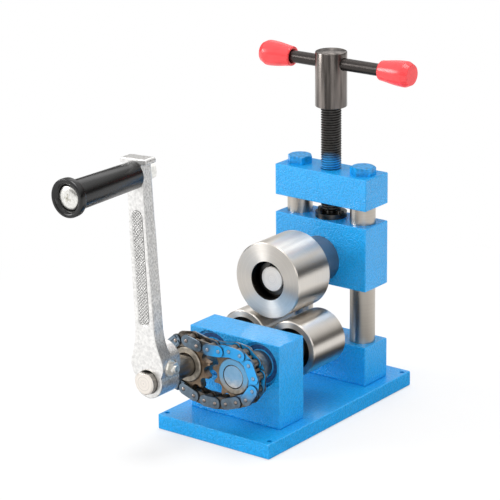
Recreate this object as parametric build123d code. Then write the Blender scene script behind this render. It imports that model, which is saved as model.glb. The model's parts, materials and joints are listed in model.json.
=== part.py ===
from build123d import *
import os
from math import acos, ceil, cos, degrees, pi, radians, sin, sqrt

# Hand-cranked three-roll bender for rings and flat bar.
# Two chain-coupled lower rollers drive the metal, and an idle roller above them
# is pressed down by a screw. Millimetres, +Z up, the crank side faces -Y.
# The origin is the middle of the base plate's underside.

# ---------------------------------------------------------------- driving sizes
# Base plate
PLATE_WIDTH = 132.0
PLATE_LENGTH = 236.0
PLATE_THICK = 15.0
BENCH_HOLE_DIA = 5.0
BENCH_HOLE_INSET_X = 5.0
BENCH_HOLE_INSET_Y = 8.0

# Painted blocks
BLOCK_THICK = 38.0
FRONT_BLOCK_SETBACK = 35.0
BLOCK_GAP = 100.5
REAR_BLOCK_HEIGHT = 40.0
COLUMN_SIDE_WALL = 4.0
SLIDE_BLOCK_HEIGHT = 64.0
SLIDE_BLOCK_BELOW_AXLE = 25.3
YOKE_GAP = 17.4
CROSSHEAD_HEIGHT = 31.2
BLOCK_EDGE = 0.8

# Roller axes
AXIS_SPACING = 56.0
LOWER_AXIS_HEIGHT = 74.6
UPPER_AXIS_RISE = 62.9

# Rollers
LOWER_ROLLER_DIA = 55.0
LOWER_ROLLER_LENGTH = 51.0
LOWER_ROLLER_STANDOFF = 14.0
LOWER_RECESS_DIA = 41.0
LOWER_RECESS_DEPTH = 3.5
UPPER_ROLLER_DIA = 75.0
UPPER_ROLLER_LENGTH = 50.2
UPPER_RECESS_DIA = 37.2
UPPER_RECESS_DEPTH = 12.4
ROLLER_CHAMFER = 0.8

# Lower shafts and their ball bearings
SHAFT_DIA = 22.0
SHAFT_COLLAR_DIA = 27.6
SHAFT_CHAMFER = 0.4
CRANK_END_CHAMFER = 1.2
BEARING_OUTER_DIA = 44.0
BEARING_WIDTH = 12.0
BEARING_INNER_RING_DIA = 28.6
BEARING_SHIELD_GAP = 0.5
BEARING_RECESS = 4.0
BEARING_MOUTH_EDGE = 0.4
BEARING_SIDE_WALL = 3.0
BEARING_TOP_WALL = 1.4
BEARING_SHOULDER = 3.0

# Chain drive: 12.7 mm roller chain on twelve-tooth sprockets
CHAIN_PITCH = 12.7
SPROCKET_TEETH = 12
CHAIN_ROLLER_DIA = 8.51
CHAIN_PIN_DIA = 4.45
CHAIN_INNER_WIDTH = 7.75
CHAIN_PLATE_THICK = 1.6
CHAIN_PLATE_GAP = 0.15
OUTER_PLATE_HEIGHT = 10.9
INNER_PLATE_HEIGHT = 11.8
TOP_SLACK_SHARE = 0.25
TOOTH_WIDTH = 7.2
TOOTH_TIP_DIA = 53.4
SEAT_HALF_ANGLE = 60.0
SPROCKET_HUB_DIA = 34.5
SPROCKET_REAR_HUB_DIA = 30.0
SPROCKET_NOSE_DIA = 27.0
SPROCKET_NOSE_GAP = 2.0
SPROCKET_HUB_FRONT = 2.0
SPROCKET_STANDOFF = 32.6
CHAIN_ADVANCE = 2.0

# Crank
CRANK_THROW = 196.0
CRANK_LEAN = 3.0
CRANK_BOSS_DIA = 32.4
CRANK_BOSS_LENGTH = 26.2
CRANK_PAD_DIA = 38.0
CRANK_PAD_RISE = 16.0
CRANK_SHOULDER_ANGLE = 25.0
CRANK_SHOULDER_RISE = 48.0
CRANK_SHOULDER_HOLLOW = 1.0
CRANK_ARM_THICK = 14.0
CRANK_ARM_ROOT_WIDTH = 22.4
CRANK_ARM_TIP_WIDTH = 18.4
CRANK_ARM_EDGE = 0.8
CRANK_LUG_WIDTH = 31.0
CRANK_LUG_THICK = 5.0
CRANK_LUG_CLIP = 1.6
CRANK_TOP_ABOVE_GRIP = 16.9
CRANK_GAP_TO_SPROCKET = 29.1
SHAFT_BEYOND_CRANK = 6.5
PANEL_START = 53.5
PANEL_LENGTH = 110.0
PANEL_WIDTH = 12.4
PANEL_DEPTH = 0.9
COTTER_DIA = 9.5
COTTER_THREAD_DIA = 7.0
COTTER_OFFSET = 12.2
COTTER_FLAT_DEPTH = 2.0
COTTER_TAIL = 3.0
COTTER_NUT_FLATS = 11.0
COTTER_NUT_HEIGHT = 5.5
COTTER_STUD_BEYOND = 1.8
COTTER_WASHER_DIA = 16.0
COTTER_WASHER_THICK = 1.5
COTTER_SEAT = 16.2

# Crank grip
GRIP_LENGTH = 91.0
GRIP_INNER_DIA = 25.2
GRIP_OUTER_DIA = 27.4
GRIP_FLANGE_DIA = 35.6
GRIP_FLANGE_LENGTH = 7.6
GRIP_NECK_LENGTH = 4.4
GRIP_MOUTH_DIA = 27.0
GRIP_CUP_DEPTH = 5.5
GRIP_EDGE = 1.0
GRIP_BOLT_DIA = 10.0
GRIP_BOLT_HEAD_DIA = 21.6
GRIP_BOLT_HEAD_HEIGHT = 3.6
GRIP_BOLT_CROWN = 0.5
GRIP_BOLT_TAIL = 1.0
GRIP_NUT_FLATS = 17.0
GRIP_NUT_HEIGHT = 8.0

# Upper axle
AXLE_DIA = 25.0
AXLE_NECK_DIA = 45.6
AXLE_SPIGOT_DIA = 30.0
AXLE_FACE_DEPTH = 7.1
AXLE_CHAMFER = 0.8
BUSH_WALL = 3.0
BUSH_LENGTH = 16.0
THRUST_WASHER_DIA = 34.0
THRUST_WASHER_THICK = 2.0
CIRCLIP_DIA = 32.6
CIRCLIP_THICK = 1.2
CIRCLIP_GAP_WIDTH = 7.0
CIRCLIP_GROOVE_DEPTH = 1.0
THRUST_WASHER_PLAY = 0.1

# Guide columns and crosshead bolts
COLUMN_DIA = 25.0
COLUMN_SPACING = 75.0
COLUMN_SOCKET_DEPTH = 6.0
COLUMN_SLIDE_GAP = 0.05
CROSSHEAD_BOLT_DIA = 14.0
CROSSHEAD_BOLT_FLATS = 22.0
CROSSHEAD_BOLT_HEAD = 7.8
CROSSHEAD_BOLT_REACH = 22.0
BOLT_CLEARANCE = 0.3
LEFT_BOLT_TURN = 14.0
RIGHT_BOLT_TURN = 36.0

# Socket screws under the base plate
SCREW_DIA = 8.0
SCREW_HEAD_DIA = 13.0
SCREW_HEAD_HEIGHT = 8.0
SCREW_REACH = 18.0
SCREW_HEAD_SINK = 0.6
FRONT_SCREW_SPACING = 60.0
REAR_SCREW_SPACING = 30.0

# Pressure screw and T-head
THREAD_DIA = 20.0
THREAD_PITCH = 2.5
FOOT_DIA = 16.0
FOOT_HEIGHT = 8.0
FOOT_NECK_DIA = 11.0
FOOT_END_PLAY = 0.1
RETAINER_DIA = 31.0
RETAINER_THICK = 5.0
RETAINER_SPLIT = 0.3
RETAINER_SCREW_DIA = 4.0
RETAINER_SCREW_HEAD_DIA = 7.0
RETAINER_SCREW_HEAD = 2.6
RETAINER_SCREW_REACH = 8.0
RETAINER_SCREW_RADIUS = 11.5
HEAD_DIA = 31.0
HEAD_HEIGHT = 54.2
HEAD_ABOVE_CROSSHEAD = 62.0
HEAD_CHAMFER = 1.0
SCREW_IN_HEAD = 26.0
BAR_BELOW_TOP = 11.2
BAR_DIA = 12.0
BAR_LENGTH = 166.0
BAR_SHIFT = 6.5
CAP_LENGTH = 34.8
CAP_MOUTH_DIA = 19.4
CAP_BULGE_DIA = 25.0
CAP_END_DIA = 20.0
CAP_END_TAPER = 5.6
CAP_END_WALL = 3.4
CAP_LIP = 1.6

# Running clearance on the radius of every turning or sliding fit, and the
# clearance between faces of pieces that move past each other
RUN_GAP = 0.05
FACE_GAP = 0.3

# ---------------------------------------------------------------- derived places
CENTRED = (Align.CENTER, Align.CENTER, Align.CENTER)
FROM_BELOW = (Align.CENTER, Align.CENTER, Align.MIN)

plate_front = -PLATE_LENGTH / 2
front_face = plate_front + FRONT_BLOCK_SETBACK
front_back = front_face + BLOCK_THICK
yoke_front = front_back + BLOCK_GAP
yoke_back = yoke_front + BLOCK_THICK
column_y = (yoke_front + yoke_back) / 2
front_block_width = AXIS_SPACING + BEARING_OUTER_DIA + 2 * BEARING_SIDE_WALL
yoke_width = COLUMN_SPACING + COLUMN_DIA + 2 * COLUMN_SIDE_WALL
front_block_top = LOWER_AXIS_HEIGHT + BEARING_OUTER_DIA / 2 + BEARING_TOP_WALL
rear_block_top = PLATE_THICK + REAR_BLOCK_HEIGHT

drive_x = -AXIS_SPACING / 2
driven_x = AXIS_SPACING / 2
upper_axis_height = LOWER_AXIS_HEIGHT + UPPER_AXIS_RISE
slide_bottom = upper_axis_height - SLIDE_BLOCK_BELOW_AXLE
slide_top = slide_bottom + SLIDE_BLOCK_HEIGHT
crosshead_bottom = slide_top + YOKE_GAP
crosshead_top = crosshead_bottom + CROSSHEAD_HEIGHT

roller_front = front_back + LOWER_ROLLER_STANDOFF
roller_back = roller_front + LOWER_ROLLER_LENGTH
upper_back = roller_back
upper_front = upper_back - UPPER_ROLLER_LENGTH

chain_y = front_face - SPROCKET_STANDOFF
tooth_front = chain_y - TOOTH_WIDTH / 2
tooth_back = chain_y + TOOTH_WIDTH / 2
hub_front = tooth_front - SPROCKET_HUB_FRONT
hub_back = front_face - SPROCKET_NOSE_GAP
bearing_front = front_face + BEARING_RECESS
bearing_spans = (
    (bearing_front, bearing_front + BEARING_WIDTH),
    (front_back - BEARING_WIDTH, front_back),
)

boss_back = hub_front - CRANK_GAP_TO_SPROCKET
boss_front = boss_back - CRANK_BOSS_LENGTH
arm_back = boss_front + CRANK_ARM_THICK
grip_inner = boss_front - FACE_GAP
grip_outer = grip_inner - GRIP_LENGTH

head_bottom = crosshead_top + HEAD_ABOVE_CROSSHEAD
head_top = head_bottom + HEAD_HEIGHT
bar_height = head_top - BAR_BELOW_TOP
retainer_top = slide_top + RETAINER_THICK
foot_top = slide_top - FOOT_END_PLAY


# ---------------------------------------------------------------- shape helpers
def slab(width, y_near, y_far, z_low, z_high, edge):
    """A block centred on X with every edge broken."""
    size = Box(width, y_far - y_near, z_high - z_low, align=CENTRED)
    return Pos(0, (y_near + y_far) / 2, (z_low + z_high) / 2) * chamfer(size.edges(), edge)


def rod_y(diameter, y_near, y_far, x=0.0, z=0.0):
    """A plain round rod along Y."""
    middle = Pos(x, (y_near + y_far) / 2, z)
    return middle * Rot(90, 0, 0) * Cylinder(diameter / 2, y_far - y_near)


def rod_z(diameter, z_low, z_high, x=0.0, y=0.0):
    """A plain round rod along Z."""
    return Pos(x, y, z_low) * Cylinder(diameter / 2, z_high - z_low, align=FROM_BELOW)


def rod_x(diameter, x_low, x_high, y=0.0, z=0.0):
    """A plain round rod along X."""
    middle = Pos((x_low + x_high) / 2, y, z)
    return middle * Rot(0, 90, 0) * Cylinder(diameter / 2, x_high - x_low)


def turned_y(outline, x=0.0, z=0.0):
    """A turned piece about an axis along Y, from (radius, y) points."""
    return Pos(x, 0, z) * revolve(make_face(Polyline(*outline, close=True)), Axis.Y)


def turned_z(outline, x=0.0, y=0.0):
    """A turned piece about an axis along Z, from (radius, z) points."""
    points = [(radius, 0, height) for radius, height in outline]
    return Pos(x, y, 0) * revolve(make_face(Polyline(*points, close=True)), Axis.Z)


def hexagon(flats, height):
    """A hexagonal prism standing on its local XY plane."""
    return extrude(RegularPolygon(flats / 2, 6, major_radius=False), height)


def facing_front(x, y, z, angle=0.0):
    """A working plane whose X lies at an angle in the XZ plane and whose Z is -Y."""
    turn = radians(angle)
    return Plane(origin=(x, y, z), x_dir=(cos(turn), 0, sin(turn)), z_dir=(0, -1, 0))


# ---------------------------------------------------------------- base and blocks
def bench_hole_places():
    reach_x = PLATE_WIDTH / 2 - BENCH_HOLE_INSET_X
    reach_y = PLATE_LENGTH / 2 - BENCH_HOLE_INSET_Y
    return [(sx * reach_x, sy * reach_y) for sx in (-1, 1) for sy in (-1, 1)]


def base_screw_places():
    """Where the blocks are screwed to the plate: two screws into each block."""
    front_y = (front_face + front_back) / 2
    front = [(side * FRONT_SCREW_SPACING / 2, front_y) for side in (-1, 1)]
    rear = [(side * REAR_SCREW_SPACING / 2, column_y) for side in (-1, 1)]
    return front + rear


def column_places():
    return [(side * COLUMN_SPACING / 2, column_y) for side in (-1, 1)]


def base_screw(x, y):
    head_low = SCREW_HEAD_SINK
    head_high = head_low + SCREW_HEAD_HEIGHT
    head = rod_z(SCREW_HEAD_DIA, head_low, head_high, x, y)
    return head + rod_z(SCREW_DIA, head_low, PLATE_THICK + SCREW_REACH, x, y)


def make_base_plate():
    plate = slab(PLATE_WIDTH, plate_front, -plate_front, 0, PLATE_THICK, BLOCK_EDGE)
    for x, y in bench_hole_places():
        plate -= rod_z(BENCH_HOLE_DIA, 0, PLATE_THICK, x, y)
    counterbore = SCREW_HEAD_DIA + 2 * BOLT_CLEARANCE
    for x, y in base_screw_places():
        plate -= rod_z(SCREW_DIA + 2 * BOLT_CLEARANCE, 0, PLATE_THICK, x, y)
        plate -= rod_z(counterbore, 0, SCREW_HEAD_SINK + SCREW_HEAD_HEIGHT, x, y)
    return plate


def screw_sockets(places):
    """Tapped holes in the underside of a block."""
    depth = PLATE_THICK + SCREW_REACH
    return [rod_z(SCREW_DIA, PLATE_THICK, depth, x, y) for x, y in places]


def make_front_block():
    """The block that carries both lower shafts: a stepped bore for each."""
    block = slab(front_block_width, front_face, front_back, PLATE_THICK, front_block_top, BLOCK_EDGE)
    shoulder_dia = BEARING_OUTER_DIA - 2 * BEARING_SHOULDER
    bore = BEARING_OUTER_DIA / 2
    mouth = [(0, front_face), (bore + BEARING_MOUTH_EDGE, front_face), (bore, front_face + BEARING_MOUTH_EDGE)]
    mouth.append((0, front_face + BEARING_MOUTH_EDGE))
    for x in (drive_x, driven_x):
        block -= rod_y(shoulder_dia, front_face, front_back, x, LOWER_AXIS_HEIGHT)
        block -= rod_y(BEARING_OUTER_DIA, front_face, bearing_spans[0][1], x, LOWER_AXIS_HEIGHT)
        block -= rod_y(BEARING_OUTER_DIA, bearing_spans[1][0], front_back, x, LOWER_AXIS_HEIGHT)
        block -= turned_y(mouth, x, LOWER_AXIS_HEIGHT)
    for socket in screw_sockets(base_screw_places()[:2]):
        block -= socket
    return block


def make_rear_block():
    """The low block that holds the feet of both columns."""
    block = slab(yoke_width, yoke_front, yoke_back, PLATE_THICK, rear_block_top, BLOCK_EDGE)
    for x, y in column_places():
        block -= rod_z(COLUMN_DIA, PLATE_THICK, rear_block_top, x, y)
    for socket in screw_sockets(base_screw_places()[2:]):
        block -= socket
    return block


def make_column(x):
    """A ground column from the plate up into the crosshead, tapped at its top."""
    column_top = crosshead_bottom + COLUMN_SOCKET_DEPTH
    column = rod_z(COLUMN_DIA, PLATE_THICK, column_top, x, column_y)
    tapped_from = crosshead_bottom - CROSSHEAD_BOLT_REACH
    return column - rod_z(CROSSHEAD_BOLT_DIA, tapped_from, column_top, x, column_y)


def make_crosshead():
    """The top block: the nut of the pressure screw, bolted down on the columns."""
    block = slab(yoke_width, yoke_front, yoke_back, crosshead_bottom, crosshead_top, BLOCK_EDGE)
    nut_bore = THREAD_DIA + 2 * RUN_GAP
    block -= rod_z(nut_bore, crosshead_bottom, crosshead_top, 0, column_y)
    for x, y in column_places():
        socket_top = crosshead_bottom + COLUMN_SOCKET_DEPTH
        block -= rod_z(COLUMN_DIA, crosshead_bottom, socket_top, x, y)
        block -= rod_z(CROSSHEAD_BOLT_DIA + 2 * BOLT_CLEARANCE, socket_top, crosshead_top, x, y)
    return block


def make_crosshead_bolt(x, turn):
    """A hexagon bolt down through the crosshead into a column."""
    head = Rot(0, 0, turn) * hexagon(CROSSHEAD_BOLT_FLATS, CROSSHEAD_BOLT_HEAD)
    shank = rod_z(CROSSHEAD_BOLT_DIA, crosshead_bottom - CROSSHEAD_BOLT_REACH, crosshead_top, x, column_y)
    return Pos(x, column_y, crosshead_top) * head + shank


# ---------------------------------------------------------------- lower shafts and rollers
def make_lower_shaft(x, front_end, end_chamfer, lean=0.0, flat_length=0.0):
    """A shaft with a collar between block and roller, and a flat for a cotter."""
    radius = SHAFT_DIA / 2
    tail = roller_back - LOWER_RECESS_DEPTH
    outline = [
        (0, front_end),
        (radius - end_chamfer, front_end),
        (radius, front_end + end_chamfer),
        (radius, front_back),
        (SHAFT_COLLAR_DIA / 2, front_back),
        (SHAFT_COLLAR_DIA / 2, roller_front + LOWER_RECESS_DEPTH),
        (radius, roller_front + LOWER_RECESS_DEPTH),
        (radius, tail),
        (0, tail),
    ]
    shaft = turned_y(outline, x, LOWER_AXIS_HEIGHT)
    if flat_length:
        cutter = Box(SHAFT_DIA, flat_length, SHAFT_DIA, align=(Align.CENTER, Align.MIN, Align.MIN))
        cutter = Pos(0, front_end, radius - COTTER_FLAT_DEPTH) * cutter
        shaft -= Pos(x, 0, LOWER_AXIS_HEIGHT) * Rot(0, -lean, 0) * cutter
    return shaft


def make_lower_roller(x):
    """A hardened roller with a recess in each end and broken corners."""
    radius = LOWER_ROLLER_DIA / 2
    bore = SHAFT_DIA / 2
    recess = LOWER_RECESS_DIA / 2
    outline = [
        (bore, roller_front + LOWER_RECESS_DEPTH),
        (recess, roller_front + LOWER_RECESS_DEPTH),
        (recess, roller_front),
        (radius - ROLLER_CHAMFER, roller_front),
        (radius, roller_front + ROLLER_CHAMFER),
        (radius, roller_back - ROLLER_CHAMFER),
        (radius - ROLLER_CHAMFER, roller_back),
        (recess, roller_back),
        (recess, roller_back - LOWER_RECESS_DEPTH),
        (bore, roller_back - LOWER_RECESS_DEPTH),
    ]
    return turned_y(outline, x, LOWER_AXIS_HEIGHT)


def ring_y(outer_dia, inner_dia, y_near, y_far, x, z):
    outline = [(inner_dia / 2, y_near), (outer_dia / 2, y_near), (outer_dia / 2, y_far), (inner_dia / 2, y_far)]
    return turned_y(outline, x, z)


def bearing_outer_rings():
    """Outer rings with their shields, pressed into the front block."""
    shield_bore = BEARING_INNER_RING_DIA + 2 * BEARING_SHIELD_GAP
    return [
        ring_y(BEARING_OUTER_DIA, shield_bore, near, far, x, LOWER_AXIS_HEIGHT)
        for x in (drive_x, driven_x)
        for near, far in bearing_spans
    ]


def bearing_inner_rings(x):
    """The two inner rings on one shaft."""
    return [
        ring_y(BEARING_INNER_RING_DIA, SHAFT_DIA, near, far, x, LOWER_AXIS_HEIGHT)
        for near, far in bearing_spans
    ]


# ---------------------------------------------------------------- chain and sprockets
tooth_step = 360.0 / SPROCKET_TEETH
pitch_radius = CHAIN_PITCH / (2 * sin(pi / SPROCKET_TEETH))
seat_radius = CHAIN_ROLLER_DIA / 2 + RUN_GAP

# Pitches that sit on each sprocket, and the angle from its outward side to the last of them
seated = SPROCKET_TEETH // 2
seated_half_angle = seated * tooth_step / 2
run_sum = 2 * AXIS_SPACING + 4 * pitch_radius * cos(radians(seated_half_angle))
free_pitches = ceil(run_sum / CHAIN_PITCH)
top_pitches = free_pitches // 2
bottom_pitches = free_pitches - top_pitches
slack = free_pitches * CHAIN_PITCH - run_sum
top_span = top_pitches * CHAIN_PITCH - TOP_SLACK_SHARE * slack
leave_angle = degrees(acos((top_span - AXIS_SPACING) / (2 * pitch_radius)))
mesh_turn = leave_angle - seated_half_angle
right_start = mesh_turn - seated_half_angle + CHAIN_ADVANCE
left_start = 180 - seated_half_angle - mesh_turn + CHAIN_ADVANCE


def on_pitch_circle(x, angle):
    turn = radians(angle)
    return (x + pitch_radius * cos(turn), LOWER_AXIS_HEIGHT + pitch_radius * sin(turn))


def hanging_run(start, end, pitches):
    """Pins of a slack run between two seated pins: equal chords of one arc, sagging down."""
    span = sqrt((end[0] - start[0]) ** 2 + (end[1] - start[1]) ** 2)
    low, high = 1e-6, pi / pitches
    for _ in range(60):
        bend = (low + high) / 2
        if sin(pitches * bend) / sin(bend) > span / CHAIN_PITCH:
            low = bend
        else:
            high = bend
    along = ((end[0] - start[0]) / span, (end[1] - start[1]) / span)
    down = 1.0 if along[0] < 0 else -1.0
    pins = []
    x, z = start
    for link in range(pitches - 1):
        turn = down * (pitches - 1 - 2 * link) * bend
        x += CHAIN_PITCH * (along[0] * cos(turn) - along[1] * sin(turn))
        z += CHAIN_PITCH * (along[0] * sin(turn) + along[1] * cos(turn))
        pins.append((x, z))
    return pins


def chain_pins():
    """Every pin centre (x, z), round the driven sprocket first, then the drive sprocket."""
    right = [on_pitch_circle(driven_x, right_start + k * tooth_step) for k in range(seated + 1)]
    left = [on_pitch_circle(drive_x, left_start + k * tooth_step) for k in range(seated + 1)]
    top = hanging_run(right[-1], left[0], top_pitches)
    bottom = hanging_run(left[-1], right[0], bottom_pitches)
    return right + top + left + bottom


def make_sprocket(x, first_gap_angle):
    """Toothed disc on a hub that reaches in to the bearing's inner ring."""
    half_step = radians(tooth_step / 2)
    tip_radius = TOOTH_TIP_DIA / 2
    seat = radians(SEAT_HALF_ANGLE)
    root = pitch_radius - seat_radius
    flank_start = (pitch_radius - seat_radius * cos(seat), seat_radius * sin(seat))
    flank_slope = (sin(seat), cos(seat))
    # the straight flank runs out to where it meets the tip circle
    b = flank_start[0] * flank_slope[0] + flank_start[1] * flank_slope[1]
    c = flank_start[0] ** 2 + flank_start[1] ** 2 - tip_radius**2
    reach = -b + sqrt(b * b - c)
    tip = (flank_start[0] + reach * flank_slope[0], flank_start[1] + reach * flank_slope[1])
    if tip[1] > tip[0] * sin(half_step) / cos(half_step):
        raise ValueError("the tooth comes to a point inside its tip circle")

    def spun(point, angle):
        turn = radians(angle)
        return (
            point[0] * cos(turn) - point[1] * sin(turn),
            point[0] * sin(turn) + point[1] * cos(turn),
        )

    edges = []
    for gap in range(SPROCKET_TEETH):
        angle = first_gap_angle + gap * tooth_step
        before = spun((tip[0], -tip[1]), angle)
        low = spun((flank_start[0], -flank_start[1]), angle)
        bottom = spun((root, 0), angle)
        high = spun(flank_start, angle)
        after = spun(tip, angle)
        next_tip = spun((tip[0], -tip[1]), angle + tooth_step)
        edges += [
            Line(before, low),
            ThreePointArc(low, bottom, high),
            Line(high, after),
            Line(after, next_tip),
        ]
    disc = extrude(make_face(edges), TOOTH_WIDTH / 2, both=True)
    sprocket = facing_front(x, chain_y, LOWER_AXIS_HEIGHT) * disc
    sprocket += rod_y(SPROCKET_HUB_DIA, hub_front, tooth_back, x, LOWER_AXIS_HEIGHT)
    sprocket += rod_y(SPROCKET_REAR_HUB_DIA, tooth_back, hub_back, x, LOWER_AXIS_HEIGHT)
    sprocket += rod_y(SPROCKET_NOSE_DIA, hub_back, bearing_front, x, LOWER_AXIS_HEIGHT)
    return sprocket - rod_y(SHAFT_DIA, hub_front, bearing_front, x, LOWER_AXIS_HEIGHT)


inner_face = CHAIN_INNER_WIDTH / 2
inner_back = inner_face + CHAIN_PLATE_THICK
outer_face = inner_back + CHAIN_PLATE_GAP
outer_back = outer_face + CHAIN_PLATE_THICK


def link_plane(start, end):
    angle = degrees(acos(max(-1.0, min(1.0, (end[0] - start[0]) / CHAIN_PITCH))))
    if end[1] < start[1]:
        angle = -angle
    return facing_front(start[0], chain_y, start[1], angle)


def plate_pair(height, near):
    """Two link plates, one each side of the chain's middle plane."""
    outline = Pos(CHAIN_PITCH / 2, 0) * SlotCenterToCenter(CHAIN_PITCH, height)
    plate = extrude(outline, CHAIN_PLATE_THICK)
    return [Pos(0, 0, near) * plate, Pos(0, 0, -near - CHAIN_PLATE_THICK) * plate]


def make_outer_link():
    """Two outer plates riveted to two pins."""
    link = plate_pair(OUTER_PLATE_HEIGHT, outer_face)
    pins = [Pos(k * CHAIN_PITCH, 0) * Cylinder(CHAIN_PIN_DIA / 2, 2 * outer_face) for k in (0, 1)]
    return link[0] + pins[0] + pins[1] + link[1]


def make_inner_link():
    """Two inner plates pressed on two bushes with their rollers, bored for the pins."""
    link = plate_pair(INNER_PLATE_HEIGHT, inner_face)
    barrels = [Pos(k * CHAIN_PITCH, 0) * Cylinder(CHAIN_ROLLER_DIA / 2, CHAIN_INNER_WIDTH) for k in (0, 1)]
    bore = Cylinder(CHAIN_PIN_DIA / 2 + RUN_GAP, 2 * inner_back)
    body = link[0] + barrels[0] + barrels[1] + link[1]
    return body - bore - Pos(CHAIN_PITCH, 0) * bore


def make_cranked_link():
    """The odd link: its plates step from the outer width at one end to the inner at the other."""
    half_height = OUTER_PLATE_HEIGHT / 2
    far_end = CHAIN_PITCH + half_height
    bend_start = INNER_PLATE_HEIGHT / 2 + CHAIN_PLATE_GAP
    bend_end = CHAIN_PITCH - OUTER_PLATE_HEIGHT / 2 - CHAIN_PLATE_GAP
    step = [
        (-half_height, outer_face),
        (bend_start, outer_face),
        (bend_end, inner_face),
        (far_end, inner_face),
        (far_end, inner_back),
        (bend_end, inner_back),
        (bend_start, outer_back),
        (-half_height, outer_back),
    ]
    strip = extrude(Plane.XZ * make_face(Polyline(*step, close=True)), half_height, both=True)
    slot = Pos(CHAIN_PITCH / 2, 0) * SlotCenterToCenter(CHAIN_PITCH, OUTER_PLATE_HEIGHT)
    front = strip & extrude(slot, outer_back, both=True)
    back = mirror(front, Plane.XY)
    barrel = Pos(CHAIN_PITCH, 0) * Cylinder(CHAIN_ROLLER_DIA / 2, CHAIN_INNER_WIDTH)
    bore = Pos(CHAIN_PITCH, 0) * Cylinder(CHAIN_PIN_DIA / 2 + RUN_GAP, 2 * inner_back)
    pin = Cylinder(CHAIN_PIN_DIA / 2, 2 * outer_face)
    return front + barrel + back + pin - bore


def make_chain():
    """The closed chain as outer links, inner links and, on an odd count, one cranked link."""
    pins = chain_pins()
    count = len(pins)
    last = seated + top_pitches + seated
    ordered = pins[last:] + pins[:last]
    outer, inner, cranked = [], [], []
    for index in range(count):
        start = ordered[index]
        end = ordered[(index + 1) % count]
        place = link_plane(start, end)
        if index == count - 1 and count % 2:
            cranked.append(place * make_cranked_link())
        elif index % 2:
            inner.append(place * make_inner_link())
        else:
            outer.append(place * make_outer_link())
    return outer, inner, cranked


# ---------------------------------------------------------------- crank
def in_crank(shape):
    """Move a shape from the crank's own frame, arm straight up, to its rest place."""
    return Pos(drive_x, 0, LOWER_AXIS_HEIGHT) * Rot(0, -CRANK_LEAN, 0) * shape


pad_radius = CRANK_PAD_DIA / 2
cotter_y = (boss_front + boss_back) / 2


def crank_outline():
    """The arm's front face: concave shoulders that rise from the pad, then straight tapering sides."""
    turn = radians(CRANK_SHOULDER_ANGLE)
    low = (pad_radius * cos(turn), CRANK_PAD_RISE + pad_radius * sin(turn))
    root = (CRANK_ARM_ROOT_WIDTH / 2, CRANK_SHOULDER_RISE)
    hollow = ((low[0] + root[0]) / 2 - CRANK_SHOULDER_HOLLOW, (low[1] + root[1]) / 2)
    tip = (CRANK_ARM_TIP_WIDTH / 2, CRANK_THROW)
    top = (CRANK_ARM_TIP_WIDTH / 2, CRANK_THROW + CRANK_TOP_ABOVE_GRIP)
    edges = [Line((-top[0], top[1]), top)]
    for side in (-1, 1):
        low_s, hollow_s, root_s, tip_s, top_s = [(side * x, z) for x, z in (low, hollow, root, tip, top)]
        edges += [
            Line((0, CRANK_PAD_RISE), low_s),
            ThreePointArc(low_s, hollow_s, root_s),
            Line(root_s, tip_s),
            Line(tip_s, top_s),
        ]
    return make_face(edges)


def make_crank_arm():
    """Cast arm: a boss with a pad for the cotter, a tapering arm with a sunk panel, and a lug at the grip."""
    top = CRANK_THROW + CRANK_TOP_ABOVE_GRIP
    face = facing_front(0, boss_front, 0)
    arm = extrude(face * crank_outline(), -CRANK_ARM_THICK)
    straight = CRANK_THROW - CRANK_SHOULDER_RISE
    long_edges = arm.edges().filter_by(lambda edge: edge.length > straight * 0.99)
    arm = chamfer(long_edges, CRANK_ARM_EDGE)
    arm += rod_y(CRANK_BOSS_DIA, boss_front, boss_back)
    arm += rod_y(CRANK_PAD_DIA, boss_front, boss_back, 0, CRANK_PAD_RISE)
    lug = Box(CRANK_LUG_WIDTH, CRANK_ARM_THICK, CRANK_LUG_THICK, align=(Align.CENTER, Align.MIN, Align.MAX))
    arm += Pos(0, boss_front, top) * chamfer(lug.edges().filter_by(Axis.Y), CRANK_LUG_CLIP)
    panel = Pos(0, PANEL_START + PANEL_LENGTH / 2) * Rot(0, 0, 90) * SlotOverall(PANEL_LENGTH, PANEL_WIDTH)
    arm -= extrude(face * panel, -PANEL_DEPTH)
    arm -= rod_y(SHAFT_DIA, boss_front, boss_back)
    arm -= rod_y(GRIP_BOLT_DIA, boss_front, arm_back, 0, CRANK_THROW)
    arm -= rod_x(COTTER_DIA, -pad_radius, pad_radius, cotter_y, COTTER_OFFSET)
    spot_face = COTTER_WASHER_DIA + 2 * BOLT_CLEARANCE
    arm -= rod_x(spot_face, COTTER_SEAT, COTTER_SEAT + spot_face, cotter_y, COTTER_OFFSET)
    return in_crank(arm)


cotter_left = -sqrt(pad_radius**2 - (CRANK_PAD_RISE - COTTER_OFFSET) ** 2) - COTTER_TAIL
washer_out = COTTER_SEAT + COTTER_WASHER_THICK
nut_out = washer_out + COTTER_NUT_HEIGHT


def make_cotter_pin():
    """Round pin with a flat that bears on the shaft's flat, and a threaded end."""
    pin = rod_x(COTTER_DIA, cotter_left, COTTER_SEAT, cotter_y, COTTER_OFFSET)
    flat_height = SHAFT_DIA / 2 - COTTER_FLAT_DEPTH
    below = Box(
        COTTER_SEAT - cotter_left, COTTER_DIA, COTTER_DIA, align=(Align.MIN, Align.CENTER, Align.MAX)
    )
    pin -= Pos(cotter_left, cotter_y, flat_height) * below
    stud_end = nut_out + COTTER_STUD_BEYOND
    pin += rod_x(COTTER_THREAD_DIA, COTTER_SEAT, stud_end, cotter_y, COTTER_OFFSET)
    return in_crank(pin)


def make_cotter_washer():
    washer = rod_x(COTTER_WASHER_DIA, COTTER_SEAT, washer_out, cotter_y, COTTER_OFFSET)
    washer -= rod_x(COTTER_THREAD_DIA, COTTER_SEAT, washer_out, cotter_y, COTTER_OFFSET)
    return in_crank(washer)


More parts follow.
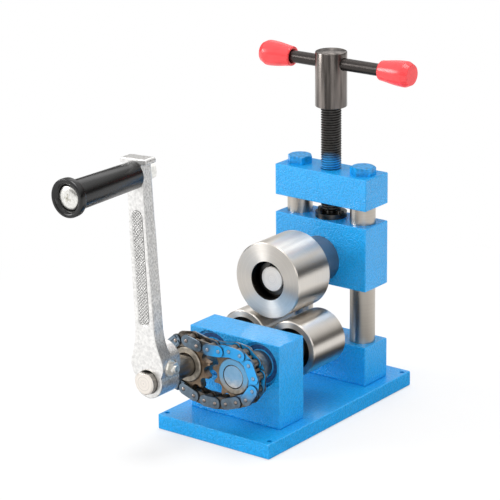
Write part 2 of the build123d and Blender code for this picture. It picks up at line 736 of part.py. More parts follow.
def make_cotter_nut():
    nut = Pos(washer_out, cotter_y, COTTER_OFFSET) * Rot(0, 90, 0) * hexagon(COTTER_NUT_FLATS, COTTER_NUT_HEIGHT)
    nut -= rod_x(COTTER_THREAD_DIA, washer_out, nut_out, cotter_y, COTTER_OFFSET)
    return in_crank(nut)


def make_grip():
    """Moulded grip: a tapering handle with a neck, a rounded flange and a cupped end."""
    inner = GRIP_INNER_DIA / 2
    neck = GRIP_OUTER_DIA / 2
    flange = GRIP_FLANGE_DIA / 2
    mouth = GRIP_MOUTH_DIA / 2
    bore = GRIP_BOLT_DIA / 2 + RUN_GAP
    cup = grip_outer + GRIP_CUP_DEPTH
    cup_radius = GRIP_BOLT_HEAD_DIA / 2 + FACE_GAP
    flange_back = grip_outer + GRIP_FLANGE_LENGTH
    outline = [
        (bore, grip_inner),
        (inner - GRIP_EDGE, grip_inner),
        (inner, grip_inner - GRIP_EDGE),
        (neck, flange_back + GRIP_NECK_LENGTH),
    ]
    # the neck sweeps out to the flange, and the flange's rim is rounded over
    for turn in (30, 60, 90):
        out = 1 - cos(radians(turn))
        along = sin(radians(turn))
        outline.append((neck + out * (flange - GRIP_EDGE - neck), flange_back + (1 - along) * GRIP_NECK_LENGTH))
    outline += [
        (flange, flange_back - GRIP_EDGE),
        (flange, grip_outer + 2 * GRIP_EDGE),
        (flange - GRIP_EDGE, grip_outer + GRIP_EDGE / 2),
        (flange - 2 * GRIP_EDGE, grip_outer),
        (mouth + GRIP_EDGE, grip_outer),
        (mouth, grip_outer + GRIP_EDGE),
        (cup_radius, cup),
        (bore, cup),
    ]
    return in_crank(turned_y(outline, 0, CRANK_THROW))


def make_grip_bolt():
    """Pan-headed bolt through grip and arm."""
    head_under = grip_outer + GRIP_CUP_DEPTH - FACE_GAP
    head_top_y = head_under - GRIP_BOLT_HEAD_HEIGHT
    head_radius = GRIP_BOLT_HEAD_DIA / 2
    crown = head_radius / 2
    bolt_end = arm_back + GRIP_NUT_HEIGHT + GRIP_BOLT_TAIL
    shank = GRIP_BOLT_DIA / 2
    outline = [
        (0, head_top_y),
        (crown, head_top_y + GRIP_BOLT_CROWN),
        (head_radius, head_under - GRIP_EDGE),
        (head_radius, head_under),
        (shank, head_under),
        (shank, bolt_end),
        (0, bolt_end),
    ]
    return in_crank(turned_y(outline, 0, CRANK_THROW))


def make_grip_nut():
    nut = Pos(0, arm_back + GRIP_NUT_HEIGHT, CRANK_THROW) * Rot(90, 0, 0) * hexagon(GRIP_NUT_FLATS, GRIP_NUT_HEIGHT)
    return in_crank(nut - rod_y(GRIP_BOLT_DIA, arm_back, arm_back + GRIP_NUT_HEIGHT, 0, CRANK_THROW))


# ---------------------------------------------------------------- upper roller
bush_outer = AXLE_DIA + 2 * BUSH_WALL
recess_floor = upper_front + UPPER_RECESS_DEPTH
axle_front = upper_front + AXLE_FACE_DEPTH
groove_dia = AXLE_DIA - 2 * CIRCLIP_GROOVE_DEPTH
washer_back = recess_floor - THRUST_WASHER_PLAY
washer_front = washer_back - THRUST_WASHER_THICK
neck_front = upper_back + FACE_GAP


def make_upper_roller():
    """The large idle roller, recessed in front where its axle ends."""
    radius = UPPER_ROLLER_DIA / 2
    outline = [
        (bush_outer / 2, recess_floor),
        (UPPER_RECESS_DIA / 2, recess_floor),
        (UPPER_RECESS_DIA / 2, upper_front + ROLLER_CHAMFER / 2),
        (UPPER_RECESS_DIA / 2 + ROLLER_CHAMFER / 2, upper_front),
        (radius - ROLLER_CHAMFER, upper_front),
        (radius, upper_front + ROLLER_CHAMFER),
        (radius, upper_back - ROLLER_CHAMFER),
        (radius - ROLLER_CHAMFER, upper_back),
        (bush_outer / 2, upper_back),
    ]
    return turned_y(outline, 0, upper_axis_height)


def upper_roller_bushes():
    """Bronze bushes pressed into both ends of the roller's bore."""
    bore = AXLE_DIA + 2 * RUN_GAP
    spans = ((recess_floor, recess_floor + BUSH_LENGTH), (upper_back - BUSH_LENGTH, upper_back))
    return [ring_y(bush_outer, bore, near, far, 0, upper_axis_height) for near, far in spans]


def make_upper_axle():
    """Axle with a thick neck against the slide block and a spigot through it."""
    radius = AXLE_DIA / 2
    outline = [
        (0, axle_front),
        (radius - AXLE_CHAMFER, axle_front),
        (radius, axle_front + AXLE_CHAMFER),
        (radius, neck_front),
        (AXLE_NECK_DIA / 2 - AXLE_CHAMFER, neck_front),
        (AXLE_NECK_DIA / 2, neck_front + AXLE_CHAMFER),
        (AXLE_NECK_DIA / 2, yoke_front),
        (AXLE_SPIGOT_DIA / 2, yoke_front),
        (AXLE_SPIGOT_DIA / 2, yoke_back),
        (0, yoke_back),
    ]
    axle = turned_y(outline, 0, upper_axis_height)
    groove_front = washer_front - CIRCLIP_THICK
    return axle - ring_y(AXLE_DIA + FACE_GAP, groove_dia, groove_front, washer_front, 0, upper_axis_height)


def make_thrust_washer():
    return ring_y(THRUST_WASHER_DIA, AXLE_DIA, washer_front, washer_back, 0, upper_axis_height)


def make_circlip():
    """Open spring ring in the axle's groove."""
    near = washer_front - CIRCLIP_THICK
    ring = ring_y(CIRCLIP_DIA, groove_dia, near, washer_front, 0, upper_axis_height)
    opening = Box(CIRCLIP_GAP_WIDTH, CIRCLIP_THICK, CIRCLIP_DIA, align=(Align.CENTER, Align.MIN, Align.MIN))
    return ring - Pos(0, near, upper_axis_height) * opening


# ---------------------------------------------------------------- slide, screw and T-head
def make_slide_block():
    """Block that runs on both columns and carries the upper axle and the screw's foot."""
    block = slab(yoke_width, yoke_front, yoke_back, slide_bottom, slide_top, BLOCK_EDGE)
    for x, y in column_places():
        block -= rod_z(COLUMN_DIA + 2 * COLUMN_SLIDE_GAP, slide_bottom, slide_top, x, y)
    block -= rod_y(AXLE_SPIGOT_DIA, yoke_front, yoke_back, 0, upper_axis_height)
    foot_bottom = foot_top - FOOT_HEIGHT - FOOT_END_PLAY
    block -= rod_z(FOOT_DIA + 2 * RUN_GAP, foot_bottom, slide_top, 0, column_y)
    for side in (-1, 1):
        x = side * RETAINER_SCREW_RADIUS
        block -= rod_z(RETAINER_SCREW_DIA, slide_top - RETAINER_SCREW_REACH, slide_top, x, column_y)
    return block


def screw_retainers():
    """Two half rings that close round the neck of the screw's foot."""
    ring = rod_z(RETAINER_DIA, slide_top, retainer_top, 0, column_y)
    ring -= rod_z(FOOT_NECK_DIA + 2 * RUN_GAP, slide_top, retainer_top, 0, column_y)
    halves = []
    for side in (-1, 1):
        x = side * RETAINER_SCREW_RADIUS
        cut_from = Align.MIN if side > 0 else Align.MAX
        keep = Box(RETAINER_DIA, RETAINER_DIA, RETAINER_THICK, align=(cut_from, Align.CENTER, Align.MIN))
        half = ring & (Pos(side * RETAINER_SPLIT / 2, column_y, slide_top) * keep)
        halves.append(half - rod_z(RETAINER_SCREW_DIA, slide_top, retainer_top, x, column_y))
    return halves


def retainer_screws():
    """A low-headed screw through each half ring."""
    screws = []
    for side in (-1, 1):
        x = side * RETAINER_SCREW_RADIUS
        shank = rod_z(RETAINER_SCREW_DIA, slide_top - RETAINER_SCREW_REACH, retainer_top, x, column_y)
        head_high = retainer_top + RETAINER_SCREW_HEAD
        screws.append(shank + rod_z(RETAINER_SCREW_HEAD_DIA, retainer_top, head_high, x, column_y))
    return screws


def make_pressure_screw():
    """Screw with a necked foot held in the slide block."""
    foot = FOOT_DIA / 2
    neck = FOOT_NECK_DIA / 2
    thread = THREAD_DIA / 2
    thread_low = retainer_top + RETAINER_SCREW_HEAD + FACE_GAP
    screw_top = head_bottom + SCREW_IN_HEAD
    outline = [
        (0, foot_top - FOOT_HEIGHT),
        (foot, foot_top - FOOT_HEIGHT),
        (foot, foot_top),
        (neck, foot_top),
        (neck, thread_low),
        (thread, thread_low),
        (thread, screw_top),
        (0, screw_top),
    ]
    return turned_z(outline, 0, column_y)


def make_screw_head():
    """Round T-head shrunk on the screw, cross-bored for the bar."""
    radius = HEAD_DIA / 2
    thread = THREAD_DIA / 2
    outline = [
        (thread, head_bottom),
        (radius - HEAD_CHAMFER, head_bottom),
        (radius, head_bottom + HEAD_CHAMFER),
        (radius, head_top - HEAD_CHAMFER),
        (radius - HEAD_CHAMFER, head_top),
        (0, head_top),
        (0, head_bottom + SCREW_IN_HEAD),
        (thread, head_bottom + SCREW_IN_HEAD),
    ]
    head = turned_z(outline, 0, column_y)
    return head - rod_x(BAR_DIA + 2 * RUN_GAP, -HEAD_DIA, HEAD_DIA, column_y, bar_height)


def make_tommy_bar():
    low = BAR_SHIFT - BAR_LENGTH / 2
    return rod_x(BAR_DIA, low, BAR_SHIFT + BAR_LENGTH / 2, column_y, bar_height)


def make_bar_cap(side):
    """Moulded cap that swells towards its end and is pushed over the bar."""
    mouth = CAP_MOUTH_DIA / 2
    bulge = CAP_BULGE_DIA / 2
    end = CAP_END_DIA / 2
    bore = BAR_DIA / 2
    far = CAP_LENGTH
    outline = [
        (0, 0, far - CAP_END_WALL),
        (bore, 0, far - CAP_END_WALL),
        (bore, 0, CAP_LIP),
        (bore + CAP_LIP, 0, 0),
        (mouth - CAP_LIP / 2, 0, 0),
        (mouth, 0, CAP_LIP / 2),
        (bulge, 0, far - CAP_END_TAPER),
        (end, 0, far),
        (0, 0, far),
    ]
    cap = revolve(make_face(Polyline(*outline, close=True)), Axis.Z)
    bar_end = BAR_SHIFT + side * BAR_LENGTH / 2
    cap_end = bar_end + side * CAP_END_WALL
    return Pos(cap_end - side * CAP_LENGTH, column_y, bar_height) * Rot(0, side * 90, 0) * cap


# ---------------------------------------------------------------- assembly
outer_links, inner_links, cranked_links = make_chain()
drive_end = boss_front - SHAFT_BEYOND_CRANK
cotter_flat = CRANK_BOSS_LENGTH + SHAFT_BEYOND_CRANK + FACE_GAP

pieces = {
    "base_plate": [make_base_plate()],
    "front_block": [make_front_block()],
    "rear_block": [make_rear_block()],
    "guide_column_left": [make_column(column_places()[0][0])],
    "guide_column_right": [make_column(column_places()[1][0])],
    "crosshead": [make_crosshead()],
    "crosshead_bolts": [
        make_crosshead_bolt(column_places()[0][0], LEFT_BOLT_TURN),
        make_crosshead_bolt(column_places()[1][0], RIGHT_BOLT_TURN),
    ],
    "block_screws": [base_screw(x, y) for x, y in base_screw_places()],
    "bearing_outer_rings": bearing_outer_rings(),
    "chain_outer_links": outer_links,
    "chain_inner_links": inner_links,
    "chain_cranked_link": cranked_links,
    "drive_shaft": [make_lower_shaft(drive_x, drive_end, CRANK_END_CHAMFER, CRANK_LEAN, cotter_flat)],
    "drive_sprocket": [make_sprocket(drive_x, left_start)],
    "drive_roller": [make_lower_roller(drive_x)],
    "drive_bearing_inner_rings": bearing_inner_rings(drive_x),
    "crank_arm": [make_crank_arm()],
    "cotter_pin": [make_cotter_pin()],
    "cotter_washer": [make_cotter_washer()],
    "cotter_nut": [make_cotter_nut()],
    "grip_bolt": [make_grip_bolt()],
    "grip_nut": [make_grip_nut()],
    "crank_grip": [make_grip()],
    "driven_shaft": [make_lower_shaft(driven_x, hub_front, SHAFT_CHAMFER)],
    "driven_sprocket": [make_sprocket(driven_x, right_start)],
    "driven_roller": [make_lower_roller(driven_x)],
    "driven_bearing_inner_rings": bearing_inner_rings(driven_x),
    "slide_block": [make_slide_block()],
    "upper_axle": [make_upper_axle()],
    "thrust_washer": [make_thrust_washer()],
    "axle_circlip": [make_circlip()],
    "screw_retainers": screw_retainers(),
    "retainer_screws": retainer_screws(),
    "upper_roller": [make_upper_roller()],
    "upper_roller_bushes": upper_roller_bushes(),
    "pressure_screw": [make_pressure_screw()],
    "screw_head": [make_screw_head()],
    "tommy_bar": [make_tommy_bar()],
    "bar_cap_left": [make_bar_cap(-1)],
    "bar_cap_right": [make_bar_cap(1)],
}

os.makedirs("parts", exist_ok=True)
for name, shapes in pieces.items():
    solids = [solid for shape in shapes for solid in shape.solids()]
    if solids:
        export_step(Compound(children=solids), f"parts/{name}.step")
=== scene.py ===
"""Looks for a hand-cranked ring roll bender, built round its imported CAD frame.

Metres, +Z up, the crank side faces -Y. Every piece rides on a body of the frame.
"""

import json
import math

import bmesh
import bpy
from bpy.props import FloatProperty, FloatVectorProperty, PointerProperty
from mathutils import Matrix, Vector


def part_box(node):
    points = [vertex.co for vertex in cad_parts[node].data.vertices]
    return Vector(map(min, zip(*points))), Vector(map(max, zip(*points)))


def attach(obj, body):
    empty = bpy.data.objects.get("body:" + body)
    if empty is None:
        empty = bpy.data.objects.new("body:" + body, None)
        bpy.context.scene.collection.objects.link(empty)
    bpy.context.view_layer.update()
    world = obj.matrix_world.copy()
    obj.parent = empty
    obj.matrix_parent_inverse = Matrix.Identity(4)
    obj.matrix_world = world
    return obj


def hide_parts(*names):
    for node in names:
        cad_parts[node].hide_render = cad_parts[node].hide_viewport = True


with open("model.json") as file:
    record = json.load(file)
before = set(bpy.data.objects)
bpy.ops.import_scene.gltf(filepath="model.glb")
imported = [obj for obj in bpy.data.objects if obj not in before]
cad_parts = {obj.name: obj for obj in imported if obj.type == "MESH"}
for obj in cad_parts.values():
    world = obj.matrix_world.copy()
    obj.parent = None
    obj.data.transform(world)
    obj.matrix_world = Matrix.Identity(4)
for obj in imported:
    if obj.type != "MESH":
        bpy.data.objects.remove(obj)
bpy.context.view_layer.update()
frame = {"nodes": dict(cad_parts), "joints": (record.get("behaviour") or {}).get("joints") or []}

bl_info = {
    "name": "Ring roll bender",
    "version": (1, 0, 0),
    "blender": (4, 5, 0),
    "location": "3D View > Sidebar > Roll bender",
    "description": "Builds the finishes and fine pieces of a hand-cranked ring roll bender",
    "category": "Object",
}

MM = 0.001
JOINTS = {joint["name"]: joint for joint in frame["joints"]}


def srgb(code):
    """Linear red, green, blue and alpha from an sRGB hex colour such as #1E90F0."""
    parts = [int(code[k : k + 2], 16) / 255 for k in (1, 3, 5)]
    return [c / 12.92 if c <= 0.04045 else ((c + 0.055) / 1.055) ** 2.4 for c in parts] + [1.0]


def length(name, default, description):
    """A size property, in metres."""
    return FloatProperty(
        name=name, default=default, description=description, min=0.0, precision=5,
        unit="LENGTH", subtype="DISTANCE",
    )


def colour(name, code, description):
    """A colour property, from its sRGB hex code."""
    return FloatVectorProperty(
        name=name, default=srgb(code), description=description, subtype="COLOR", size=4, min=0.0, max=1.0
    )


def span(node, axis):
    """A CAD node's lowest and highest value along an axis, in millimetres."""
    low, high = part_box(node)
    return low[axis] / MM, high[axis] / MM


def half(node, axis):
    """Half of a CAD node's size along an axis, in metres."""
    low, high = span(node, axis)
    return (high - low) / 2 * MM


# ---------------------------------------------------------------- what a user may change
class BenderSizes(bpy.types.PropertyGroup):
    column_radius: length("Column radius", half("guide_column_left", 0), "Ground guide columns")
    roller_edge: length("Roller edge", 0.9 * MM, "Bright chamfer at each roller's corners")
    lower_roller_radius: length("Lower roller radius", half("drive_roller", 0), "Driven rollers")
    lower_recess_radius: length("Lower roller recess", 20.5 * MM, "Recess in each end of a driven roller")
    upper_roller_radius: length("Upper roller radius", half("upper_roller", 0), "Idle roller")
    upper_recess_radius: length("Upper roller recess", 18.6 * MM, "Recess round the axle's end")
    axle_radius: length("Axle radius", 12.5 * MM, "Axle of the idle roller")
    neck_radius: length("Neck radius", half("upper_axle", 0), "Thick neck behind the idle roller")
    shaft_radius: length("Shaft radius", 11.0 * MM, "Lower shafts")
    collar_radius: length("Collar radius", 13.8 * MM, "Collar of a lower shaft behind its block")
    bearing_radius: length("Bearing radius", half("bearing_outer_rings", 2), "Outside of the ball bearings")
    bearing_width: length("Bearing width", 12.0 * MM, "Width of a ball bearing")
    race_radius: length("Race radius", half("drive_bearing_inner_rings", 0), "Outside of an inner ring")
    hub_radius: length("Hub radius", 17.25 * MM, "Front hub of a sprocket")
    rear_hub_radius: length("Rear hub radius", 15.0 * MM, "Hub between sprocket and block")
    thread_radius: length("Thread radius", half("pressure_screw", 0), "Pressure screw, over its crests")
    thread_pitch: length("Thread pitch", 2.5 * MM, "Pressure screw")
    thread_depth: length("Thread depth", 1.35 * MM, "Pressure screw, crest to root")
    head_radius: length("T-head radius", half("screw_head", 0), "Round head of the pressure screw")
    bar_radius: length("Bar radius", half("tommy_bar", 1), "Tommy bar")
    cap_radius: length("Cap radius", half("bar_cap_left", 1), "Widest part of a bar cap")
    chain_pitch: length("Chain pitch", 12.7 * MM, "Pin to pin")
    rivet_radius: length("Rivet radius", 1.85 * MM, "Chain pin heads")
    rivet_height: length("Rivet height", 1.1 * MM, "How far a pin head stands out of its plate")
    knurl_pitch: length("Knurl pitch", 3.2 * MM, "Diamonds in the crank's sunk panel")
    paint_edge: length("Paint edge", 0.45 * MM, "Rounding of the painted edges")


class BenderColours(bpy.types.PropertyGroup):
    enamel: colour("Enamel", "#0DACFA", "Hammered blue enamel")
    column: colour("Column steel", "#C4BDB3", "Ground columns")
    roller: colour("Roller steel", "#E3DDD5", "Turned and polished rollers")
    # painted shade: this dark tint fills the roller recesses and the idle roller's bushes, as the shade
    # inside them
    recess: colour("Recess steel", "#2E2A27", "Unpolished, oily recess round an axle or shaft")
    axle: colour("Neck steel", "#8E9196", "Dull turned neck of the upper axle")
    black: colour("Black oxide", "#4A4947", "Pressure screw's foot and retainer, spring ring, block screws")
    thread: colour("Thread steel", "#62605E", "Threaded part of the pressure screw")
    # the T-head's tint, which its finish streaks lighter and darker, as wear and as painted highlights
    gunmetal: colour("Worn oxide", "#706A66", "T-head")
    bar: colour("Bar oxide", "#4A4644", "Tommy bar")
    faced: colour("Faced steel", "#F0E9E1", "Turned ends of shafts and axle")
    cap: colour("Cap red", "#FA4A4E", "Dipped caps on the bar")
    casting: colour("Casting", "#E9E8E6", "Plated crank casting")
    zinc: colour("Zinc", "#F4F3EE", "Bright zinc-plated nuts and screws")
    grip: colour("Grip black", "#0B0B0B", "Moulded grip")
    chain: colour("Chain steel", "#8496A6", "Oiled chain plates")
    inner_chain: colour("Inner links", "#7E776F", "Worn rollers and inner plates of the chain")
    rivet: colour("Rivet steel", "#BCAFA8", "Peened ends of the chain's pins")
    teeth: colour("Tooth steel", "#9A8672", "Toothed discs of the sprockets")
    hub: colour("Hub steel", "#B5ADA0", "Turned hubs of the sprockets")
    mist: colour("Mist", "#58A9DB", "Thin blue overspray on the driven hub, its shaft's end and the rivets")
    floor: colour("Floor", "#FAFAFA", "Pale studio floor")


class BenderStage(bpy.types.PropertyGroup):
    camera_place: FloatVectorProperty(
        name="Camera place", size=3, subtype="XYZ", unit="LENGTH", default=(1.26781, -1.7122, 0.84774),
        description="Where the camera stands",
    )
    azimuth: FloatProperty(
        name="Azimuth", default=math.radians(37.447), unit="ROTATION", subtype="ANGLE",
        description="Camera's bearing, from straight in front towards the right",
    )
    elevation: FloatProperty(
        name="Elevation", default=math.radians(17.872), unit="ROTATION", subtype="ANGLE",
        description="How far the camera looks down",
    )
    roll: FloatProperty(
        name="Roll", default=math.radians(-0.66), unit="ROTATION", subtype="ANGLE",
        description="Camera's turn about its own line of sight",
    )
    lens: FloatProperty(
        name="Lens", default=168.5, unit="CAMERA", subtype="DISTANCE_CAMERA",
        description="Focal length on 36 mm film",
    )


# ---------------------------------------------------------------- shared helpers
def settings(context):
    """The sizes, colours and stage that the user may change."""
    scene = context.scene
    return scene.bender_sizes, scene.bender_colours, scene.bender_stage


def add_node(tree, kind, values=None, links=None, **properties):
    """Add one shader node: its properties, then its socket values, then what feeds its sockets."""
    made = tree.nodes.new(kind)
    for name, value in properties.items():
        setattr(made, name, value)
    for name, value in (values or {}).items():
        made.inputs[name].default_value = value
    for name, source in (links or {}).items():
        tree.links.new(source, made.inputs[name])
    return made


def new_material(name):
    """An empty node material: returns it and its tree."""
    made = bpy.data.materials.get(name)
    if made:
        bpy.data.materials.remove(made)
    made = bpy.data.materials.new(name)
    made.use_nodes = True
    made.node_tree.nodes.clear()
    return made, made.node_tree


def finish_with(tree, shader):
    """Show a shader on the material's surface."""
    add_node(tree, "ShaderNodeOutputMaterial", links={"Surface": shader.outputs[0]})


def grain(tree, scale_mm, stretch=None, detail=2.0):
    """Noise whose grains are about scale_mm across, drawn out along each axis where stretch is below 1."""
    where = add_node(tree, "ShaderNodeTexCoord").outputs["Object"]
    if stretch:
        where = add_node(tree, "ShaderNodeMapping", {"Scale": stretch}, {"Vector": where}).outputs[0]
    return add_node(
        tree, "ShaderNodeTexNoise", {"Scale": 1 / (scale_mm * MM), "Detail": detail}, {"Vector": where}
    ).outputs["Fac"]


def turned_grain(tree, scale_mm):
    """Noise in rings about the piece's own Z axis, as a lathe tool leaves them."""
    where = add_node(tree, "ShaderNodeTexCoord").outputs["Object"]
    split = add_node(tree, "ShaderNodeSeparateXYZ", links={"Vector": where})
    flat = add_node(tree, "ShaderNodeCombineXYZ", links={"X": split.outputs["X"], "Y": split.outputs["Y"]})
    radius = add_node(tree, "ShaderNodeVectorMath", links={0: flat.outputs[0]}, operation="LENGTH")
    ring = add_node(
        tree, "ShaderNodeCombineXYZ", links={"X": radius.outputs["Value"], "Y": split.outputs["Z"]}
    )
    return add_node(
        tree, "ShaderNodeTexNoise", {"Scale": 1 / (scale_mm * MM), "Detail": 3.0}, {"Vector": ring.outputs[0]}
    ).outputs["Fac"]


def ramp(tree, source, low, high, low_at=0.35, high_at=0.65):
    """A smooth change between two colours as source goes from low_at to high_at."""
    made = add_node(tree, "ShaderNodeValToRGB", links={"Fac": source})
    made.color_ramp.elements[0].position = low_at
    made.color_ramp.elements[0].color = low
    made.color_ramp.elements[1].position = high_at
    made.color_ramp.elements[1].color = high
    return made.outputs["Color"]


def shade(colour_value, factor):
    """A colour made lighter or darker."""
    return [min(1.0, c * factor) for c in colour_value[:3]] + [1.0]


def bump(tree, height, depth_mm, strength=1.0):
    """A normal that follows a height pattern of the given depth."""
    return add_node(
        tree, "ShaderNodeBump", {"Strength": strength, "Distance": depth_mm * MM}, {"Height": height}
    ).outputs["Normal"]


def lie_along(centre, axis, lean=0.0):
    """A matrix that stands a piece's own Z along a row axis at a centre, leaning about Y."""
    turns = {
        "X": Matrix.Rotation(math.pi / 2, 4, "Y"),
        "-X": Matrix.Rotation(-math.pi / 2, 4, "Y"),
        "Y": Matrix.Rotation(-math.pi / 2, 4, "X"),
        "-Y": Matrix.Rotation(math.pi / 2, 4, "X"),
        "Z": Matrix.Identity(4),
    }
    return Matrix.Translation(centre) @ Matrix.Rotation(lean, 4, "Y") @ turns[axis]


def arc(radius, start, end, steps):
    """Points of a circle about the origin, from one angle to another in degrees."""
    turns = [math.radians(start + (end - start) * k / steps) for k in range(steps + 1)]
    return [(radius * math.cos(turn), radius * math.sin(turn)) for turn in turns]


def bowed(start, bend, end, t):
    """A point on the curve from start to end that bend pulls aside, as t goes from 0 to 1."""
    return start * (1 - t) ** 2 + bend * 2 * t * (1 - t) + end * t**2


def both_ends(half_outline, near, far):
    """A (radius, height) outline from (radius, depth) points of one end, mirrored at the other end."""
    first = [(radius, near + depth) for radius, depth in half_outline]
    return first + [(radius, far - depth) for radius, depth in reversed(half_outline)]


def ring_of_faces(low, high):
    """Four-cornered faces between two closed rows of vertices."""
    after = [(k + 1) % len(low) for k in range(len(low))]
    return [[low[k], low[n], high[n], high[k]] for k, n in enumerate(after)]


def slab_faces(count):
    """Faces of a slab: two closed outlines of count vertices each and the sides between them."""
    low, high = list(range(count)), list(range(count, 2 * count))
    return [low, high[::-1]] + ring_of_faces(low, high)


def solid_mesh(name, vertices, faces):
    """A mesh whose faces all look outwards."""
    mesh = bpy.data.meshes.new(name)
    mesh.from_pydata(vertices, [], faces)
    mesh.validate()
    tidy = bmesh.new()
    tidy.from_mesh(mesh)
    bmesh.ops.recalc_face_normals(tidy, faces=tidy.faces)
    tidy.to_mesh(mesh)
    tidy.free()
    return mesh


def place_mesh(name, mesh, matrix, body, finish, smooth):
    """Show a mesh as a piece that rides on its body, smooth except where it turns sharper than smooth."""
    mesh.name = name
    mesh.materials.clear()
    mesh.materials.append(finish)
    mesh.polygons.foreach_set("use_smooth", [True] * len(mesh.polygons))
    mesh.set_sharp_from_angle(angle=math.radians(smooth))
    piece = bpy.data.objects.new(name, mesh)
    bpy.context.scene.collection.objects.link(piece)
    piece.matrix_world = matrix
    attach(piece, body)
    return piece


def make_piece(name, vertices, faces, matrix, body, finish, smooth=35.0):
    """A piece from its vertices and faces."""
    return place_mesh(name, solid_mesh(name, vertices, faces), matrix, body, finish, smooth)


def turned_mesh(outline, sides=96, closed=False):
    """Vertices and faces of a turned form, from (radius, height) points in metres."""
    vertices, rows = [], []
    for radius, height in outline:
        if radius < 1e-7:
            rows.append([len(vertices)] * sides)
            vertices.append((0, 0, height))
        else:
            rows.append(list(range(len(vertices), len(vertices) + sides)))
            for k in range(sides):
                turn = 2 * math.pi * k / sides
                vertices.append((radius * math.cos(turn), radius * math.sin(turn), height))
    faces = []
    pairs = list(zip(rows, rows[1:]))
    if closed:
        pairs.append((rows[-1], rows[0]))
    for low, high in pairs:
        for k in range(sides):
            after = (k + 1) % sides
            corners = [low[k], low[after], high[after], high[k]]
            corners = [c for i, c in enumerate(corners) if c not in corners[:i]]
            if len(corners) > 2:
                faces.append(corners)
    return vertices, faces


def dress(piece, finish, chosen):
    """Give the faces that chosen picks another finish."""
    piece.data.materials.append(finish)
    index = len(piece.data.materials) - 1
    for face in piece.data.polygons:
        if chosen(face):
            face.material_index = index


def dress_end(piece, level_mm, finish):
    """Give the flat end of a turned piece, below a level on its own Z, another finish."""
    dress(piece, finish, lambda face: face.center.z < level_mm * MM)


def make_turned(name, outline, matrix, body, finish, sides=96, closed=False, smooth=35.0):
    """A turned piece from (radius, height) points in millimetres."""
    vertices, faces = turned_mesh([(r * MM, h * MM) for r, h in outline], sides, closed)
    return make_piece(name, vertices, faces, matrix, body, finish, smooth)


def rounded(outline, radius_mm, steps=3):
    """Round the inner corners of an open (radius, height) outline by a small arc."""
    made = [outline[0]]
    for before, corner, after in zip(outline, outline[1:], outline[2:]):
        a = Vector((before[0] - corner[0], before[1] - corner[1]))
        b = Vector((after[0] - corner[0], after[1] - corner[1]))
        reach = min(radius_mm, a.length * 0.45, b.length * 0.45)
        if reach < 1e-6 or a.length < 1e-6 or b.length < 1e-6:
            made.append(corner)
            continue
        start = Vector(corner) + a.normalized() * reach
        end = Vector(corner) + b.normalized() * reach
        made += [tuple(bowed(start, Vector(corner), end, k / steps)) for k in range(steps + 1)]
    made.append(outline[-1])
    return made


def coat(node, finish, edge=0.0):
    """Give a CAD node its finish, and round its sharp edges where it has a width to do so."""
    piece = frame["nodes"][node]
    piece.data.materials.clear()
    piece.data.materials.append(finish)
    piece.data.polygons.foreach_set("material_index", [0] * len(piece.data.polygons))
    if edge:
        rounding = piece.modifiers.new("Rounded edges", "BEVEL")
        rounding.width = edge
        rounding.segments = 2
        rounding.limit_method = "ANGLE"
        rounding.angle_limit = math.radians(30)
        rounding.harden_normals = False
    return piece


def hexagon_head(flats, height, bore=0.0, sides=96):
    """Vertices and faces of a hexagon head or nut, with its corners turned off at 30 degrees."""
    half = flats / 2
    face = half * 0.96
    rows = [[], [], [], []]
    vertices = []
    for k in range(sides):
        turn = 2 * math.pi * k / sides
        corner = half / math.cos((turn + math.pi / 6) % (math.pi / 3) - math.pi / 6)
        drop = (corner - face) * math.tan(math.radians(30))
        levels = ((corner, 0.0), (corner, height - drop), (face, height), (bore, height))
        for row, (radius, level) in zip(rows, levels):
            row.append(len(vertices))
            vertices.append((radius * math.cos(turn), radius * math.sin(turn), level))
    foot, shoulder, rim, mouth = rows
    faces = [foot[::-1]] + ring_of_faces(foot, shoulder) + ring_of_faces(shoulder, rim)
    return vertices, faces + (ring_of_faces(rim, mouth) if bore > 0 else [rim])


# ---------------------------------------------------------------- finishes
# a mist's middle, its squeeze along each axis, and what faced the spray gun, all in the piece's own axes
CHAIN_MIST = ((0.036, -0.118, 0.088), (0.62, 0.6, 0.80), (0, -1, 0))
TURNED_MIST = ((0.003, -0.0174, -0.125), (0.45, 0.95, 0.3), (0, 0, -1))
# metres from the squeezed middle where a mist ends and where it is full, and how far its edge strays
MIST_END, MIST_FULL, MIST_STRAY = 0.033, 0.022, 0.008


def clouded(name, values, low, high, cloud_mm, skin, detail=2.0):
    """A finish that clouds softly between two colours.

    skin is the grain and depth of its fine bumps in millimetres, and their strength.
    """
    made, tree = new_material(name)
    skin_mm, depth_mm, strength = skin
    shader = add_node(
        tree,
        "ShaderNodeBsdfPrincipled",
        values,
        {
            "Base Color": ramp(tree, grain(tree, cloud_mm, detail=detail), low, high),
            "Normal": bump(tree, grain(tree, skin_mm), depth_mm, strength),
        },
    )
    finish_with(tree, shader)
    return made


def painted_bolt(tint):
    """Thin enamel on a bolt's head: satin, and cloudy where it runs thin over the steel."""
    values = {"Roughness": 0.3, "IOR": 1.5}
    low, high = shade(tint, 0.55), shade(tint, 1.0)
    return clouded("painted_bolt_head", values, low, high, 3.5, (1.6, 0.12, 0.8), 3.0)


